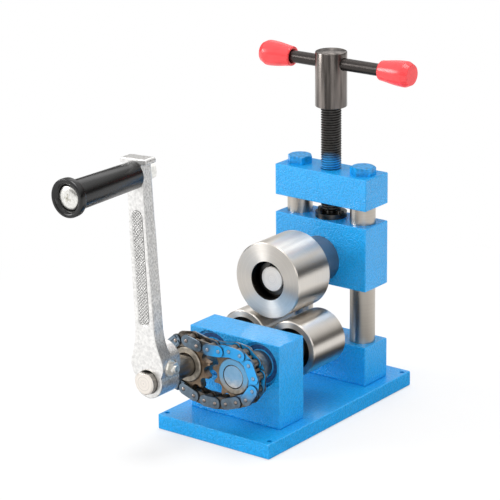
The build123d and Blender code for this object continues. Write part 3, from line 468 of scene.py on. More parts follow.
def hammered_enamel(tint):
    """Oven-cured hammered enamel on machined steel blocks.

    The eye sees a saturated azure gloss broken by a fine pebbled skin. Its dimples are drawn 1.8 mm across,
    as coarse as they need to be to show. Their colour follows the same bumps, darker where the skin is low
    and paler where it is high: paint pooled in the hollows, and also painted shade and painted highlight on
    the pebbles.
    """
    made, tree = new_material("hammered_enamel")
    noise = grain(tree, 1.8, detail=1.5)
    pebbles = add_node(
        tree, "ShaderNodeMapRange", {"From Min": 0.38, "From Max": 0.62}, {"Value": noise}
    ).outputs[0]
    cloud = grain(tree, 26.0, detail=1.0)
    # painted shade and highlight: low parts of the pebbled skin are painted darker and high parts paler,
    # besides paint pooling in the hollows
    pebble_shade_and_pooling = ramp(tree, pebbles, shade(tint, 0.62), shade(tint, 1.14), 0.05, 0.7)
    even = ramp(tree, cloud, shade(tint, 0.96), shade(tint, 1.04), 0.3, 0.7)
    skin = add_node(tree, "ShaderNodeMix", {0: 0.30}, {6: even, 7: pebble_shade_and_pooling}, data_type="RGBA").outputs[2]
    shader = add_node(
        tree,
        "ShaderNodeBsdfPrincipled",
        {"Roughness": 0.34, "IOR": 1.5, "Coat Weight": 0.5, "Coat Roughness": 0.14},
        {"Base Color": skin, "Normal": bump(tree, pebbles, 0.45, 1.0)},
    )
    finish_with(tree, shader)
    return made


def turned_steel(name, tint, roughness, ring_mm, anisotropy=0.6, groove_mm=0.012, groove_strength=0.3):
    """Steel turned on a lathe: its rings spread each lamp into a fan on faces and a streak on barrels.

    Real tool marks are finer: ring_mm is as coarse as they need to be to show.
    """
    made, tree = new_material(name)
    rings = turned_grain(tree, ring_mm)
    shader = add_node(
        tree,
        "ShaderNodeBsdfPrincipled",
        {"Metallic": 1.0, "Roughness": roughness, "Anisotropic": anisotropy, "Anisotropic Rotation": 0.25},
        {
            "Base Color": ramp(tree, rings, shade(tint, 0.94), shade(tint, 1.04)),
            "Normal": bump(tree, rings, groove_mm, groove_strength),
            "Tangent": add_node(tree, "ShaderNodeTangent", direction_type="RADIAL", axis="Z").outputs[0],
        },
    )
    finish_with(tree, shader)
    return made


def faced_steel(tint):
    """End of a steel bar faced on the lathe: pale and warm, with fine rings and little shine."""
    made, tree = new_material("faced_steel")
    rings = turned_grain(tree, 0.8)
    shader = add_node(
        tree,
        "ShaderNodeBsdfPrincipled",
        {"Metallic": 0.55, "Roughness": 0.42},
        {
            "Base Color": ramp(tree, rings, shade(tint, 0.86), shade(tint, 1.05)),
            "Normal": bump(tree, rings, 0.05, 0.6),
        },
    )
    finish_with(tree, shader)
    return made


def black_oxide(name, tint):
    """Steel blackened in hot oxide salts and oiled: brownish dark grey with a soft metallic sheen."""
    values = {"Metallic": 1.0, "Roughness": 0.28}
    return clouded(name, values, shade(tint, 0.8), shade(tint, 1.25), 5.0, (0.8, 0.02, 0.4), 3.0)


def worn_and_highlit_oxide(tint):
    """Black oxide rubbed bright by hands over turned steel: its lengthwise light and dark streaks are that
    wear, and painted highlights too.
    """
    made, tree = new_material("worn_and_highlit_black_oxide_steel")
    # painted highlights: lengthwise streaks, up to twice the tint, lighten and darken the head
    streaks = grain(tree, 7.0, (1.0, 1.0, 0.08), 3.0)
    shader = add_node(
        tree,
        "ShaderNodeBsdfPrincipled",
        {"Metallic": 1.0, "Roughness": 0.30, "Anisotropic": 0.8, "Anisotropic Rotation": 0.25},
        {
            "Base Color": ramp(tree, streaks, shade(tint, 0.55), shade(tint, 2.1), 0.36, 0.64),
            "Normal": bump(tree, turned_grain(tree, 0.8), 0.012, 0.3),
            "Tangent": add_node(tree, "ShaderNodeTangent", direction_type="RADIAL", axis="Z").outputs[0],
        },
    )
    finish_with(tree, shader)
    return made


def dipped_vinyl(tint):
    """Soft vinyl dipped over steel: a smooth satin red with a broad soft highlight."""
    values = {"Roughness": 0.24, "IOR": 1.5}
    low, high = shade(tint, 0.95), shade(tint, 1.05)
    return clouded("dipped_vinyl", values, low, high, 9.0, (1.2, 0.02, 0.4), 1.0)


def painted_corner_shade(tree, reach_mm, shade_depth, dark_at):
    """White in the open and dark in corners and grooves: painted shade, darker the more the surroundings
    hide.
    """
    open_share = add_node(
        tree, "ShaderNodeAmbientOcclusion", {"Distance": reach_mm * MM}, samples=8
    ).outputs["AO"]
    return ramp(tree, open_share, shade((1, 1, 1), 1 - shade_depth), shade((1, 1, 1), 1.0), dark_at, 0.95)


def plated_casting(tint, name="plated_casting", pit_mm=1.1, depth_mm=0.16, shade_depth=0.45):
    """Zinc-plated casting: a bright grey-white metal with a grainy mould skin that breaks its reflections.

    Its linished front is paler than its mottled as-cast sides, and the sides' darker tone is also painted
    shade, picked by which way each face turns. Painted shade in its corners and grooves draws them as thin
    grey lines.
    """
    made, tree = new_material(name)
    pits = grain(tree, pit_mm, detail=4.0)
    cloud = grain(tree, 2.4, detail=3.0)
    # painted shade: corners and grooves darken by how much the surroundings hide them
    corner_shading = painted_corner_shade(tree, 1.2, shade_depth, 0.45)
    front = ramp(tree, cloud, shade(tint, 0.95), shade(tint, 1.2))
    mottle = grain(tree, 1.3, (1.0, 1.0, 0.6), 3.0)
    # painted shade: faces turned to the arm's sides, picked by their normals below, are painted darker than
    # the front
    as_cast_and_shaded = ramp(tree, mottle, shade(tint, 0.50), shade(tint, 0.92), 0.32, 0.66)
    normal = add_node(tree, "ShaderNodeTexCoord").outputs["Normal"]
    across = add_node(tree, "ShaderNodeSeparateXYZ", links={"Vector": normal}).outputs["X"]
    sideways = add_node(tree, "ShaderNodeMath", links={0: across}, operation="ABSOLUTE").outputs[0]
    sides = add_node(
        tree, "ShaderNodeMapRange", {"From Min": 0.5, "From Max": 0.85}, {"Value": sideways}
    ).outputs[0]
    plate = add_node(
        tree, "ShaderNodeMix", None, {0: sides, 6: front, 7: as_cast_and_shaded}, data_type="RGBA"
    ).outputs[2]
    shaded_in_corners = add_node(
        tree, "ShaderNodeMix", {0: 1.0}, {6: plate, 7: corner_shading}, data_type="RGBA", blend_type="MULTIPLY"
    )
    shader = add_node(
        tree,
        "ShaderNodeBsdfPrincipled",
        {"Metallic": 0.8, "Roughness": 0.34},
        {"Base Color": shaded_in_corners.outputs[2], "Normal": bump(tree, pits, depth_mm, 0.6)},
    )
    finish_with(tree, shader)
    return made


def bright_zinc(tint):
    """Bright zinc plate on small hardware: silver with a faintly warm, slightly blurred mirror."""
    values = {"Metallic": 0.9, "Roughness": 0.28}
    return clouded("bright_zinc", values, shade(tint, 0.86), shade(tint, 1.05), 1.6, (0.9, 0.01, 0.3))


def moulded_black(tint):
    """Injection-moulded nylon: deep black with a satin skin and soft long highlights."""
    values = {"Roughness": 0.27, "IOR": 1.53}
    return clouded("moulded_black", values, shade(tint, 0.8), shade(tint, 1.3), 6.0, (0.9, 0.015, 0.3))


def oversprayed_steel(name, tint, paint, roughness, shade_depth=0.75, mist_share=0.92, mist_at=CHAIN_MIST):
    """Chain and sprocket steel beside the painted block.

    Oiled steel, with painted shade darkening its corners, and a mist of the blue enamel on what faced the
    spray gun: the fronts at the drive's upper right, fading to the left and below.
    mist_at is the mist's middle, its squeeze and the direction in the piece's own axes that faces
    the gun, or None where it lies on every side.
    """
    made, tree = new_material(name)
    middle, narrowing, front = mist_at
    coordinates = add_node(tree, "ShaderNodeTexCoord").outputs
    steel = ramp(tree, grain(tree, 4.0, detail=3.0), shade(tint, 0.80), shade(tint, 1.16))
    centre = add_node(
        tree, "ShaderNodeVectorMath", {1: middle}, {0: coordinates["Object"]}, operation="SUBTRACT"
    )
    squeeze = add_node(
        tree, "ShaderNodeVectorMath", {1: narrowing}, {0: centre.outputs[0]}, operation="MULTIPLY"
    )
    distance = add_node(tree, "ShaderNodeVectorMath", links={0: squeeze.outputs[0]}, operation="LENGTH")
    ragged = add_node(
        tree, "ShaderNodeMath", {1: MIST_STRAY},
        {0: grain(tree, 6.0, detail=3.0), 2: distance.outputs["Value"]}, operation="MULTIPLY_ADD",
    )
    near = add_node(
        tree, "ShaderNodeMapRange", {"From Min": MIST_END, "From Max": MIST_FULL, "To Max": mist_share},
        {"Value": ragged.outputs[0]},
    )
    mist = near
    if front:
        facing = add_node(
            tree, "ShaderNodeVectorMath", {1: front}, {0: coordinates["Normal"]}, operation="DOT_PRODUCT"
        ).outputs["Value"]
        fronts = add_node(tree, "ShaderNodeMapRange", {"From Min": 0.55, "From Max": 0.85}, {"Value": facing})
        mist = add_node(
            tree, "ShaderNodeMath", links={0: near.outputs[0], 1: fronts.outputs[0]}, operation="MULTIPLY"
        )
    sprayed = add_node(tree, "ShaderNodeMix", {7: paint}, {0: mist.outputs[0], 6: steel}, data_type="RGBA")
    # painted shade: corners darken by how much the surroundings hide them
    shaded_in_corners = add_node(
        tree, "ShaderNodeMix", {0: 1.0}, {6: sprayed.outputs[2], 7: painted_corner_shade(tree, 1.8, shade_depth, 0.35)},
        data_type="RGBA", blend_type="MULTIPLY",
    )
    bare = add_node(tree, "ShaderNodeMath", {0: 1.0}, {1: mist.outputs[0]}, operation="SUBTRACT")
    shader = add_node(
        tree,
        "ShaderNodeBsdfPrincipled",
        {"Roughness": roughness},
        {
            "Base Color": shaded_in_corners.outputs[2],
            "Metallic": bare.outputs[0],
            "Normal": bump(tree, grain(tree, 1.0, detail=3.0), 0.04, 0.5),
        },
    )
    finish_with(tree, shader)
    return made


def bearing_shield(name, low, high):
    """Nitrile rubber seal of a ball bearing: matt black with dust bloom; the front seals are navy, thin paint
    over the rubber and painted shade of the recess they sit in.
    """
    return clouded(name, {"Roughness": 0.6, "IOR": 1.52}, srgb(low), srgb(high), 3.0, (0.9, 0.03, 0.4))


def larger(tree, one, other):
    """The larger of two values."""
    return add_node(tree, "ShaderNodeMath", links={0: one, 1: other}, operation="MAXIMUM").outputs[0]


def mix_shaders(tree, share, first, second):
    """A shader that goes from the first to the second as share goes from 0 to 1."""
    return add_node(
        tree, "ShaderNodeMixShader", links={0: share, 1: first.outputs[0], 2: second.outputs[0]}
    )


def studio_floor(tint):
    """Matt painted board that melts into a white sweep a little way behind the machine.

    What the camera sees is whitened, partly near the machine and wholly farther out, while the board keeps
    the shadow and lights the machine as plain paint does. Mirrors see the sweep alone: white farther out, and
    near the machine a painted dark patch, a painted reflection of shade.
    """
    made, tree = new_material("painted_board")
    board = add_node(
        tree,
        "ShaderNodeBsdfPrincipled",
        {"Roughness": 0.9, "Specular IOR Level": 0.1},
        {"Base Color": ramp(tree, grain(tree, 60.0), shade(tint, 0.995), shade(tint, 1.0))},
    )
    where = add_node(tree, "ShaderNodeTexCoord").outputs["Object"]
    distance = add_node(tree, "ShaderNodeVectorMath", links={0: where}, operation="LENGTH").outputs["Value"]
    path = add_node(tree, "ShaderNodeLightPath").outputs
    # painted reflection: from 0.15 to 0.30 m out, what mirrors see of the floor fades from a dark patch to
    # white
    mirrored_dark_patch = ramp(tree, distance, srgb("#3A3837"), srgb("#FFFFFF"), 0.15, 0.30)
    mirrored = path["Is Glossy Ray"]
    tone = add_node(
        tree, "ShaderNodeMix", {6: (1.0, 1.0, 1.0, 1.0)}, {0: mirrored, 7: mirrored_dark_patch}, data_type="RGBA"
    )
    sweep = add_node(tree, "ShaderNodeEmission", {"Strength": 1.0}, {"Color": tone.outputs[2]})
    away = add_node(
        tree,
        "ShaderNodeMapRange",
        {"From Min": 0.10, "From Max": 0.55, "To Min": 0.55, "To Max": 1.0},
        {"Value": distance},
        interpolation_type="SMOOTHSTEP",
    )
    seen = larger(tree, larger(tree, path["Is Camera Ray"], mirrored), path["Is Transmission Ray"])
    share = add_node(tree, "ShaderNodeMath", links={0: away.outputs[0], 1: seen}, operation="MULTIPLY")
    finish_with(tree, mix_shaders(tree, larger(tree, share.outputs[0], mirrored), board, sweep))
    return made


FINISHES = {}


def make_finishes(colours):
    """Every finish of the machine, once, by name."""
    FINISHES["enamel"] = hammered_enamel(colours.enamel)
    FINISHES["bolt"] = painted_bolt(colours.enamel)
    # centreless-ground bar: a warm grey satin with faint rings and no colour
    FINISHES["column"] = turned_steel("ground_steel", colours.column, 0.34, 0.9, 0.5, 0.008, 0.4)
    FINISHES["roller"] = turned_steel("polished_roller_steel", colours.roller, 0.31, 0.8, 0.95)
    FINISHES["roller_face"] = turned_steel("faced_roller_steel", shade(colours.roller, 0.96), 0.40, 0.8, 0.85)
    # painted shade: roller recesses and bushes are painted dark as the shade inside them
    FINISHES["recess"] = black_oxide("recess_steel_in_painted_shade", colours.recess)
    FINISHES["shaft"] = turned_steel("turned_shaft_steel", shade(colours.roller, 0.42), 0.34, 0.8, 0.4)
    FINISHES["faced"] = faced_steel(colours.faced)
    FINISHES["axle"] = turned_steel("dull_turned_steel", colours.axle, 0.45, 1.2, 0.3)
    FINISHES["bearing"] = turned_steel("bearing_steel", shade(colours.roller, 0.85), 0.2, 0.9, 0.3)
    FINISHES["seal"] = bearing_shield("bearing_seal_rubber", "#15171A", "#2A2D31")
    # painted shade: the front seals are dark navy, thin paint over rubber and the shade of the recess they
    # sit in
    FINISHES["painted_seal"] = bearing_shield("painted_seal_rubber", "#134680", "#22639F")
    FINISHES["black"] = black_oxide("black_oxide_steel", colours.black)
    FINISHES["gunmetal"] = worn_and_highlit_oxide(colours.gunmetal)
    FINISHES["bar"] = turned_steel("blackened_bar_steel", colours.bar, 0.34, 0.8, 0.6)
    thread_mist = ((0.004, -0.010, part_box("crosshead")[1].z - 0.003), (1.3, 1.3, 1.35), None)
    FINISHES["thread"] = oversprayed_steel(
        "black_thread_steel", colours.thread, colours.enamel, 0.30, 0.75, 0.8, thread_mist
    )
    FINISHES["vinyl"] = dipped_vinyl(colours.cap)
    FINISHES["casting"] = plated_casting(colours.casting)
    # painted shade: the knurl's grooves are darkened strongly, as the shade in them
    FINISHES["knurl"] = plated_casting(colours.casting, "knurled_casting", 0.8, 0.05, 0.85)
    FINISHES["zinc"] = bright_zinc(colours.zinc)
    FINISHES["grip"] = moulded_black(colours.grip)
    FINISHES["chain"] = oversprayed_steel("oiled_chain_steel", colours.chain, colours.enamel, 0.36)
    FINISHES["inner_chain"] = oversprayed_steel("worn_chain_steel", colours.inner_chain, colours.enamel, 0.34)
    FINISHES["rivet"] = oversprayed_steel("peened_rivet_steel", colours.rivet, colours.mist, 0.36, 0.9, 0.75)
    FINISHES["teeth"] = oversprayed_steel(
        "sprocket_tooth_steel", colours.teeth, colours.enamel, 0.42, 0.85, 0.0, TURNED_MIST
    )
    FINISHES["hub"] = oversprayed_steel(
        "turned_hub_steel", colours.hub, colours.hub, 0.48, 0.8, 0.0, TURNED_MIST
    )
    FINISHES["misted_hub"] = oversprayed_steel(
        "misted_hub_steel", colours.hub, colours.mist, 0.42, 0.8, 0.9, TURNED_MIST
    )
    FINISHES["misted_end"] = oversprayed_steel(
        "misted_shaft_end", shade(colours.faced, 0.9), colours.mist, 0.42, 0.8, 0.8, TURNED_MIST
    )


# ---------------------------------------------------------------- pieces
# the body of each lower shaft, and the joint on its axis
LOWER_SHAFTS = {"drive": "crank_spin", "driven": "driven_spin"}
TEETH = 12
CHAIN_ADVANCE = math.radians(2.0)
TOP_SLACK_SHARE = 0.25
CRANK_LEAN = math.radians(-3.0)
# millimetres
ROLLER_RECESS_DEPTH = 3.5
CRANK_THROW = 196.0
ARM_THICK = 14.0
COTTER_HEIGHT = 12.2
COTTER_SEAT = 16.2


class BENDER_OT_finishes(bpy.types.Operator):
    """Make every finish the machine uses"""

    bl_idname = "bender.finishes"
    bl_label = "Finishes"

    def execute(self, context):
        make_finishes(settings(context)[1])
        return {"FINISHED"}


class BENDER_OT_blocks(bpy.types.Operator):
    """Enamel the base plate and the four blocks, and round their edges"""

    bl_idname = "bender.blocks"
    bl_label = "Painted blocks"

    def execute(self, context):
        sizes = settings(context)[0]
        for node in ("base_plate", "front_block", "rear_block", "slide_block", "crosshead"):
            coat(node, FINISHES["enamel"], sizes.paint_edge)
        coat("block_screws", FINISHES["black"])
        return {"FINISHED"}


class BENDER_OT_columns(bpy.types.Operator):
    """Ground guide columns and the enamelled hexagon bolts over them"""

    bl_idname = "bender.columns"
    bl_label = "Columns and bolts"

    BOLT_FLATS = 22 * MM
    BOLT_TURNS = {"left": math.radians(44), "right": math.radians(66)}

    def execute(self, context):
        radius = settings(context)[0].column_radius / MM
        top = span("crosshead", 2)[1]
        head_height = span("crosshead_bolts", 2)[1] - top
        for side, turn in self.BOLT_TURNS.items():
            node = "guide_column_" + side
            low, high = span(node, 2)
            x, y = (sum(span(node, axis)) / 2 * MM for axis in (0, 1))
            outline = [(0, low), (radius, low), (radius, high), (0, high)]
            place = Matrix.Translation((x, y, 0))
            column = make_turned(node + "_ground", outline, place, "frame", FINISHES["column"])
            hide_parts(node)
            vertices, faces = hexagon_head(self.BOLT_FLATS, head_height * MM)
            place = Matrix.Translation((x, y, top * MM)) @ Matrix.Rotation(turn, 4, "Z")
            name = "crosshead_bolt_head_" + side
            head = make_piece(name, vertices, faces, place, "frame", FINISHES["bolt"], smooth=20)
            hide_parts("crosshead_bolts")
        return {"FINISHED"}


class BENDER_OT_rollers(bpy.types.Operator):
    """Turned and polished rollers with bright chamfers and recessed ends"""

    bl_idname = "bender.rollers"
    bl_label = "Rollers"

    RECESS_CORNER = 0.3
    RECESS_LEAD_IN = 0.5
    UPPER_RECESS_DEPTH = 12.4
    UPPER_LEAD_IN = 0.6
    AXLE_GAP = 3.0

    def execute(self, context):
        sizes = settings(context)[0]
        for body, joint in LOWER_SHAFTS.items():
            self.lower_roller(sizes, body, JOINTS[joint]["pos_m"])
        self.upper_roller(sizes)
        # painted shade: the bushes inside the idle roller's bore take the dark recess finish
        coat("upper_roller_bushes", FINISHES["recess"])
        return {"FINISHED"}

    def lower_roller(self, sizes, body, centre):
        """A driven roller with a shallow recess in each end."""
        node = body + "_roller"
        edge = sizes.roller_edge / MM
        radius = sizes.lower_roller_radius / MM
        recess = sizes.lower_recess_radius / MM
        end = [
            (sizes.shaft_radius / MM, ROLLER_RECESS_DEPTH),
            (recess - self.RECESS_CORNER, ROLLER_RECESS_DEPTH),
            (recess, ROLLER_RECESS_DEPTH - self.RECESS_CORNER),
            (recess, self.RECESS_LEAD_IN),
            (recess + self.RECESS_LEAD_IN, 0),
            (radius - edge, 0),
            (radius, edge),
        ]
        outline = both_ends(end, *span(node, 1))
        place = lie_along((centre[0], 0, centre[2]), "Y")
        piece = make_turned(
            node + "_turned", outline, place, body, FINISHES["roller"], sides=128, closed=True
        )
        self.dress_roller(piece, recess)
        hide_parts(node)

    def upper_roller(self, sizes):
        """The idle roller, with a deep recess round the end of its axle."""
        front, back = span("upper_roller", 1)
        edge = sizes.roller_edge / MM
        radius = sizes.upper_roller_radius / MM
        recess = sizes.upper_recess_radius / MM
        bore = sizes.axle_radius / MM + self.AXLE_GAP
        outline = [
            (bore, front + self.UPPER_RECESS_DEPTH),
            (recess, front + self.UPPER_RECESS_DEPTH),
            (recess, front + self.UPPER_LEAD_IN),
            (recess + self.UPPER_LEAD_IN, front),
            (radius - edge, front),
            (radius, front + edge),
            (radius, back - edge),
            (radius - edge, back),
            (bore, back),
        ]
        centre = JOINTS["roller_spin"]["pos_m"]
        place = lie_along((centre[0], 0, centre[2]), "Y")
        piece = make_turned(
            "upper_roller_turned", outline, place, "idler", FINISHES["roller"], sides=160, closed=True
        )
        self.dress_roller(piece, recess)
        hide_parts("upper_roller")

    @classmethod
    def dress_roller(cls, piece, recess_mm):
        """Faced ends, and inside them a recess painted dark, as painted shade."""
        dress(piece, FINISHES["roller_face"], lambda face: abs(face.normal.z) > 0.9)
        reach = (recess_mm + cls.RECESS_CORNER) * MM
        dress(piece, FINISHES["recess"], lambda face: math.hypot(face.center.x, face.center.y) < reach)


class BENDER_OT_axle(bpy.types.Operator):
    """Stepped axle of the idle roller, with its neck, thrust washer and spring ring"""

    bl_idname = "bender.axle"
    bl_label = "Upper axle"

    EDGE = 0.8
    ROLLER_GAP = 0.3
    STEP_DEPTH = 5.0
    SPIGOT_RADIUS = 15.0

    def execute(self, context):
        sizes = settings(context)[0]
        centre = JOINTS["roller_spin"]["pos_m"]
        place = lie_along((centre[0], 0, centre[2]), "Y")
        front, back = span("upper_axle", 1)
        block = span("slide_block", 1)[0]
        roller_back = span("upper_roller", 1)[1]
        shoulder = roller_back + self.ROLLER_GAP
        step = roller_back + self.STEP_DEPTH
        axle = sizes.axle_radius / MM
        neck = sizes.neck_radius / MM
        outline = [(0, front), (axle - self.EDGE, front), (axle, front + self.EDGE), (axle, step), (0, step)]
        shaft = make_turned("upper_axle_turned", outline, place, "slide", FINISHES["axle"])
        dress_end(shaft, front + self.EDGE, FINISHES["faced"])
        outline = [
            (axle, shoulder),
            (neck - self.EDGE, shoulder),
            (neck, shoulder + self.EDGE),
            (neck, block),
            (self.SPIGOT_RADIUS, block),
            (self.SPIGOT_RADIUS, back),
            (0, back),
            (0, step),
            (axle, step),
        ]
        thick = make_turned("upper_axle_neck", outline, place, "slide", FINISHES["axle"])
        for piece in (shaft, thick):
            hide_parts("upper_axle")
        coat("thrust_washer", FINISHES["seal"])
        coat("axle_circlip", FINISHES["black"])
        return {"FINISHED"}


class BENDER_OT_shafts(bpy.types.Operator):
    """Lower shafts and their ball bearings"""

    bl_idname = "bender.shafts"
    bl_label = "Shafts and bearings"

    SHAFT_EDGES = {"drive": 1.2, "driven": 0.4}
    END_FINISHES = {"drive": "faced", "driven": "misted_end"}
    FRONT_SETBACK = 4.0
    RING_THICK = 3.0
    RING_EDGE = 0.5
    FLAT_DEPTH = 2.0
    FLAT_PAST_ARM = 0.3

    def execute(self, context):
        sizes = settings(context)[0]
        block_front, block_back = span("front_block", 1)
        bearings = {"front": block_front + self.FRONT_SETBACK, "rear": block_back - sizes.bearing_width / MM}
        for body, joint in LOWER_SHAFTS.items():
            x, _, z = JOINTS[joint]["pos_m"]
            place = lie_along((x, 0, z), "Y")
            self.shaft(sizes, body, place, block_back)
            for end, near in bearings.items():
                self.bearing(sizes, body, end, place, near)
        return {"FINISHED"}

    def shaft(self, sizes, body, place, block_back):
        """A shaft whose collar stands between the block and its roller."""
        front, back = span(body + "_shaft", 1)
        edge = self.SHAFT_EDGES[body]
        radius = sizes.shaft_radius / MM
        collar = sizes.collar_radius / MM
        collar_back = span(body + "_roller", 1)[0] + ROLLER_RECESS_DEPTH
        outline = [
            (0, front),
            (radius - edge, front),
            (radius, front + edge),
            (radius, block_back),
            (collar, block_back),
            (collar, collar_back),
            (radius, collar_back),
            (radius, back),
            (0, back),
        ]
        piece = make_turned(body + "_shaft_turned", outline, place, body, FINISHES["shaft"])
        dress_end(piece, front + edge, FINISHES[self.END_FINISHES[body]])
        if body == "drive":
            self.cut_flat(piece, radius - self.FLAT_DEPTH, span("crank_arm", 1)[1] + self.FLAT_PAST_ARM)
        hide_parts(body + "_shaft")

    def bearing(self, sizes, body, end, place, near):
        """Outer ring, seal and inner ring; the front ones lie under the block's paint, and their seals are
        painted dark navy as the shade in the block's mouth.
        """
        far = near + sizes.bearing_width / MM
        outside = sizes.bearing_radius / MM
        lip = outside - self.RING_THICK
        race = sizes.race_radius / MM
        edge = self.RING_EDGE
        ring_finish = FINISHES["enamel" if end == "front" else "bearing"]
        seal_finish = FINISHES["painted_seal" if end == "front" else "seal"]
        outer = both_ends([(lip, 0), (outside - edge, 0), (outside, edge)], near, far)
        ring = make_turned(f"{body}_{end}_outer_ring", outer, place, "frame", ring_finish, closed=True)
        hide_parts("bearing_outer_rings")
        seal = both_ends([(race + 0.5, 0.4), (race + 1.0, 0.2), (lip - 0.4, 0.3), (lip, 0.6)], near, far)
        shield = make_turned(f"{body}_{end}_seal", seal, place, "frame", seal_finish, closed=True)
        inner = both_ends([(sizes.shaft_radius / MM, 0), (race - edge, 0), (race, edge)], near, far)
        ring = make_turned(f"{body}_{end}_inner_ring", inner, place, body, ring_finish, closed=True)
        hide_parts(body + "_bearing_inner_rings")

    @staticmethod
    def cut_flat(piece, level_mm, end_mm):
        """Mill the cotter's flat along the shaft's crank end, square to the leaning crank."""
        lean = Matrix.Rotation(-CRANK_LEAN, 3, "Z")
        for vertex in piece.data.vertices:
            if vertex.co.z < end_mm * MM:
                spun = lean @ vertex.co
                spun.y = max(spun.y, -level_mm * MM)
                vertex.co = lean.inverted() @ spun


def chain_pins(pitch):
    """Pin centres (x, z) in millimetres, all the way round.

    They go up round the driven sprocket, back over the top, down round the drive one and home below.
    """
    left_x, _, z0 = (value / MM for value in JOINTS["crank_spin"]["pos_m"])
    right_x = JOINTS["driven_spin"]["pos_m"][0] / MM
    spacing = right_x - left_x
    step = 2 * math.pi / TEETH
    radius = pitch / (2 * math.sin(step / 2))
    seated = TEETH // 2
    free = math.ceil(2 * spacing / pitch)
    top = free // 2
    slack = free * pitch - 2 * spacing
    turn = math.acos((top * pitch - TOP_SLACK_SHARE * slack - spacing) / (2 * radius)) - math.pi / 2

    def around(x, start):
        return [
            (x + radius * math.cos(start + k * step), z0 + radius * math.sin(start + k * step))
            for k in range(seated + 1)
        ]

    def hang(start, end, links):
        """Pins of a shallow arc between two seated ones, bent by as much as its links are too long."""
        chord = math.hypot(end[0] - start[0], end[1] - start[1])
        low, high = 1e-6, math.pi / links
        for _ in range(60):
            bend = (low + high) / 2
            too_flat = math.sin(links * bend) / math.sin(bend) > chord / pitch
            low, high = (bend, high) if too_flat else (low, bend)
        ax, az = (end[0] - start[0]) / chord, (end[1] - start[1]) / chord
        down = 1.0 if ax < 0 else -1.0
        x, z = start
        made = []
        for k in range(links - 1):
            tilt = down * (links - 1 - 2 * k) * bend
            x += pitch * (ax * math.cos(tilt) - az * math.sin(tilt))
            z += pitch * (ax * math.sin(tilt) + az * math.cos(tilt))
            made.append((x, z))
        return made

    right = around(right_x, turn - math.pi / 2 + CHAIN_ADVANCE)
    left = around(left_x, math.pi / 2 - turn + CHAIN_ADVANCE)
    return right + hang(right[-1], left[0], top) + left + hang(left[-1], right[0], free - top)


class BENDER_OT_sprockets(bpy.types.Operator):
    """Two twelve-tooth sprockets with long hubs"""

    bl_idname = "bender.sprockets"
    bl_label = "Sprockets"

    SEAT_RADIUS = 4.305
    SEAT_OPENING = math.radians(60)
    TIP_RADIUS = 26.7
    TIP_CHAMFER = (1.6, 1.3)
    DISC_HALF = 3.6
    # a seated pin of the chain, by its number, that the first gap faces
    FIRST_PINS = {"drive": 10, "driven": 0}
    HUB_FINISHES = {"drive": "hub", "driven": "misted_hub"}
    SPACER_RADIUS = 13.5
    SPACER_LENGTH = 6.0

    def execute(self, context):
        sizes = settings(context)[0]
        pitch = sizes.chain_pitch / MM
        middle = sum(span("chain_inner_links", 1)) / 2
        pins = chain_pins(pitch)
        for body, joint in LOWER_SHAFTS.items():
            x, _, z = JOINTS[joint]["pos_m"]
            place = lie_along((x, 0, z), "Y")
            pin = pins[self.FIRST_PINS[body]]
            first = math.atan2(pin[1] - z / MM, pin[0] - x / MM)
            vertices, faces = self.toothed_disc(pitch, first)
            vertices = [(vx * MM, -vz * MM, (middle + vy) * MM) for vx, vz, vy in vertices]
            node = body + "_sprocket"
            teeth = make_piece(node + "_teeth", vertices, faces, place, body, FINISHES["teeth"], smooth=28)
            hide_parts(node)
            hub = self.hub_outline(sizes, node, middle + self.DISC_HALF)
            finish = FINISHES[self.HUB_FINISHES[body]]
            core = make_turned(node + "_hub", hub, place, body, finish, closed=True)
        return {"FINISHED"}

    def hub_outline(self, sizes, node, disc_back):
        """A long front hub with a lead-in at its bore, a rear hub and a spacer against the bearing."""
        front, back = span(node, 1)
        bore = sizes.shaft_radius / MM
        radius = sizes.hub_radius / MM
        rear = sizes.rear_hub_radius / MM
        spacer = back - self.SPACER_LENGTH
        return [
            (bore, front + 1.6), (bore + 0.7, front), (radius - 1.0, front), (radius, front + 0.8),
            (radius, disc_back), (rear, disc_back), (rear, spacer - 0.5), (rear - 0.5, spacer),
            (self.SPACER_RADIUS, spacer), (self.SPACER_RADIUS, back), (bore, back),
        ]

    def toothed_disc(self, pitch, first):
        """Disc outline with round roller seats, straight flanks and side-chamfered tips."""
        step = 2 * math.pi / TEETH
        centre = pitch / (2 * math.sin(step / 2))
        opening, seat, tip = self.SEAT_OPENING, self.SEAT_RADIUS, self.TIP_RADIUS
        # the flank runs straight from the end of the seat to the tip circle
        start = (centre - seat * math.cos(opening), seat * math.sin(opening))
        slope = (math.sin(opening), math.cos(opening))
        along = start[0] * slope[0] + start[1] * slope[1]
        reach = math.sqrt(along**2 - (start[0] ** 2 + start[1] ** 2 - tip**2)) - along
        corner = (start[0] + reach * slope[0], start[1] + reach * slope[1])
        gap = [(corner[0], -corner[1])]
        for k in range(13):
            swing = -opening + 2 * opening * k / 12
            gap.append((centre - seat * math.cos(swing), seat * math.sin(swing)))
        gap.append(corner)
        outline = []
        for number in range(TEETH):
            c, s = math.cos(first + number * step), math.sin(first + number * step)
            outline += [(x * c - z * s, x * s + z * c) for x, z in gap]
        drop, wide = self.TIP_CHAMFER
        half = self.DISC_HALF
        vertices, rows = [], []
        for level, cap in ((-half, tip - drop), (-half + wide, tip), (half - wide, tip), (half, tip - drop)):
            rows.append(list(range(len(vertices), len(vertices) + len(outline))))
            for x, z in outline:
                shrink = min(1.0, cap / math.hypot(x, z))
                vertices.append((x * shrink, z * shrink, level))
        faces = [list(reversed(rows[0])), rows[-1]]
        for low, high in zip(rows, rows[1:]):
            faces += ring_of_faces(low, high)
        return vertices, faces


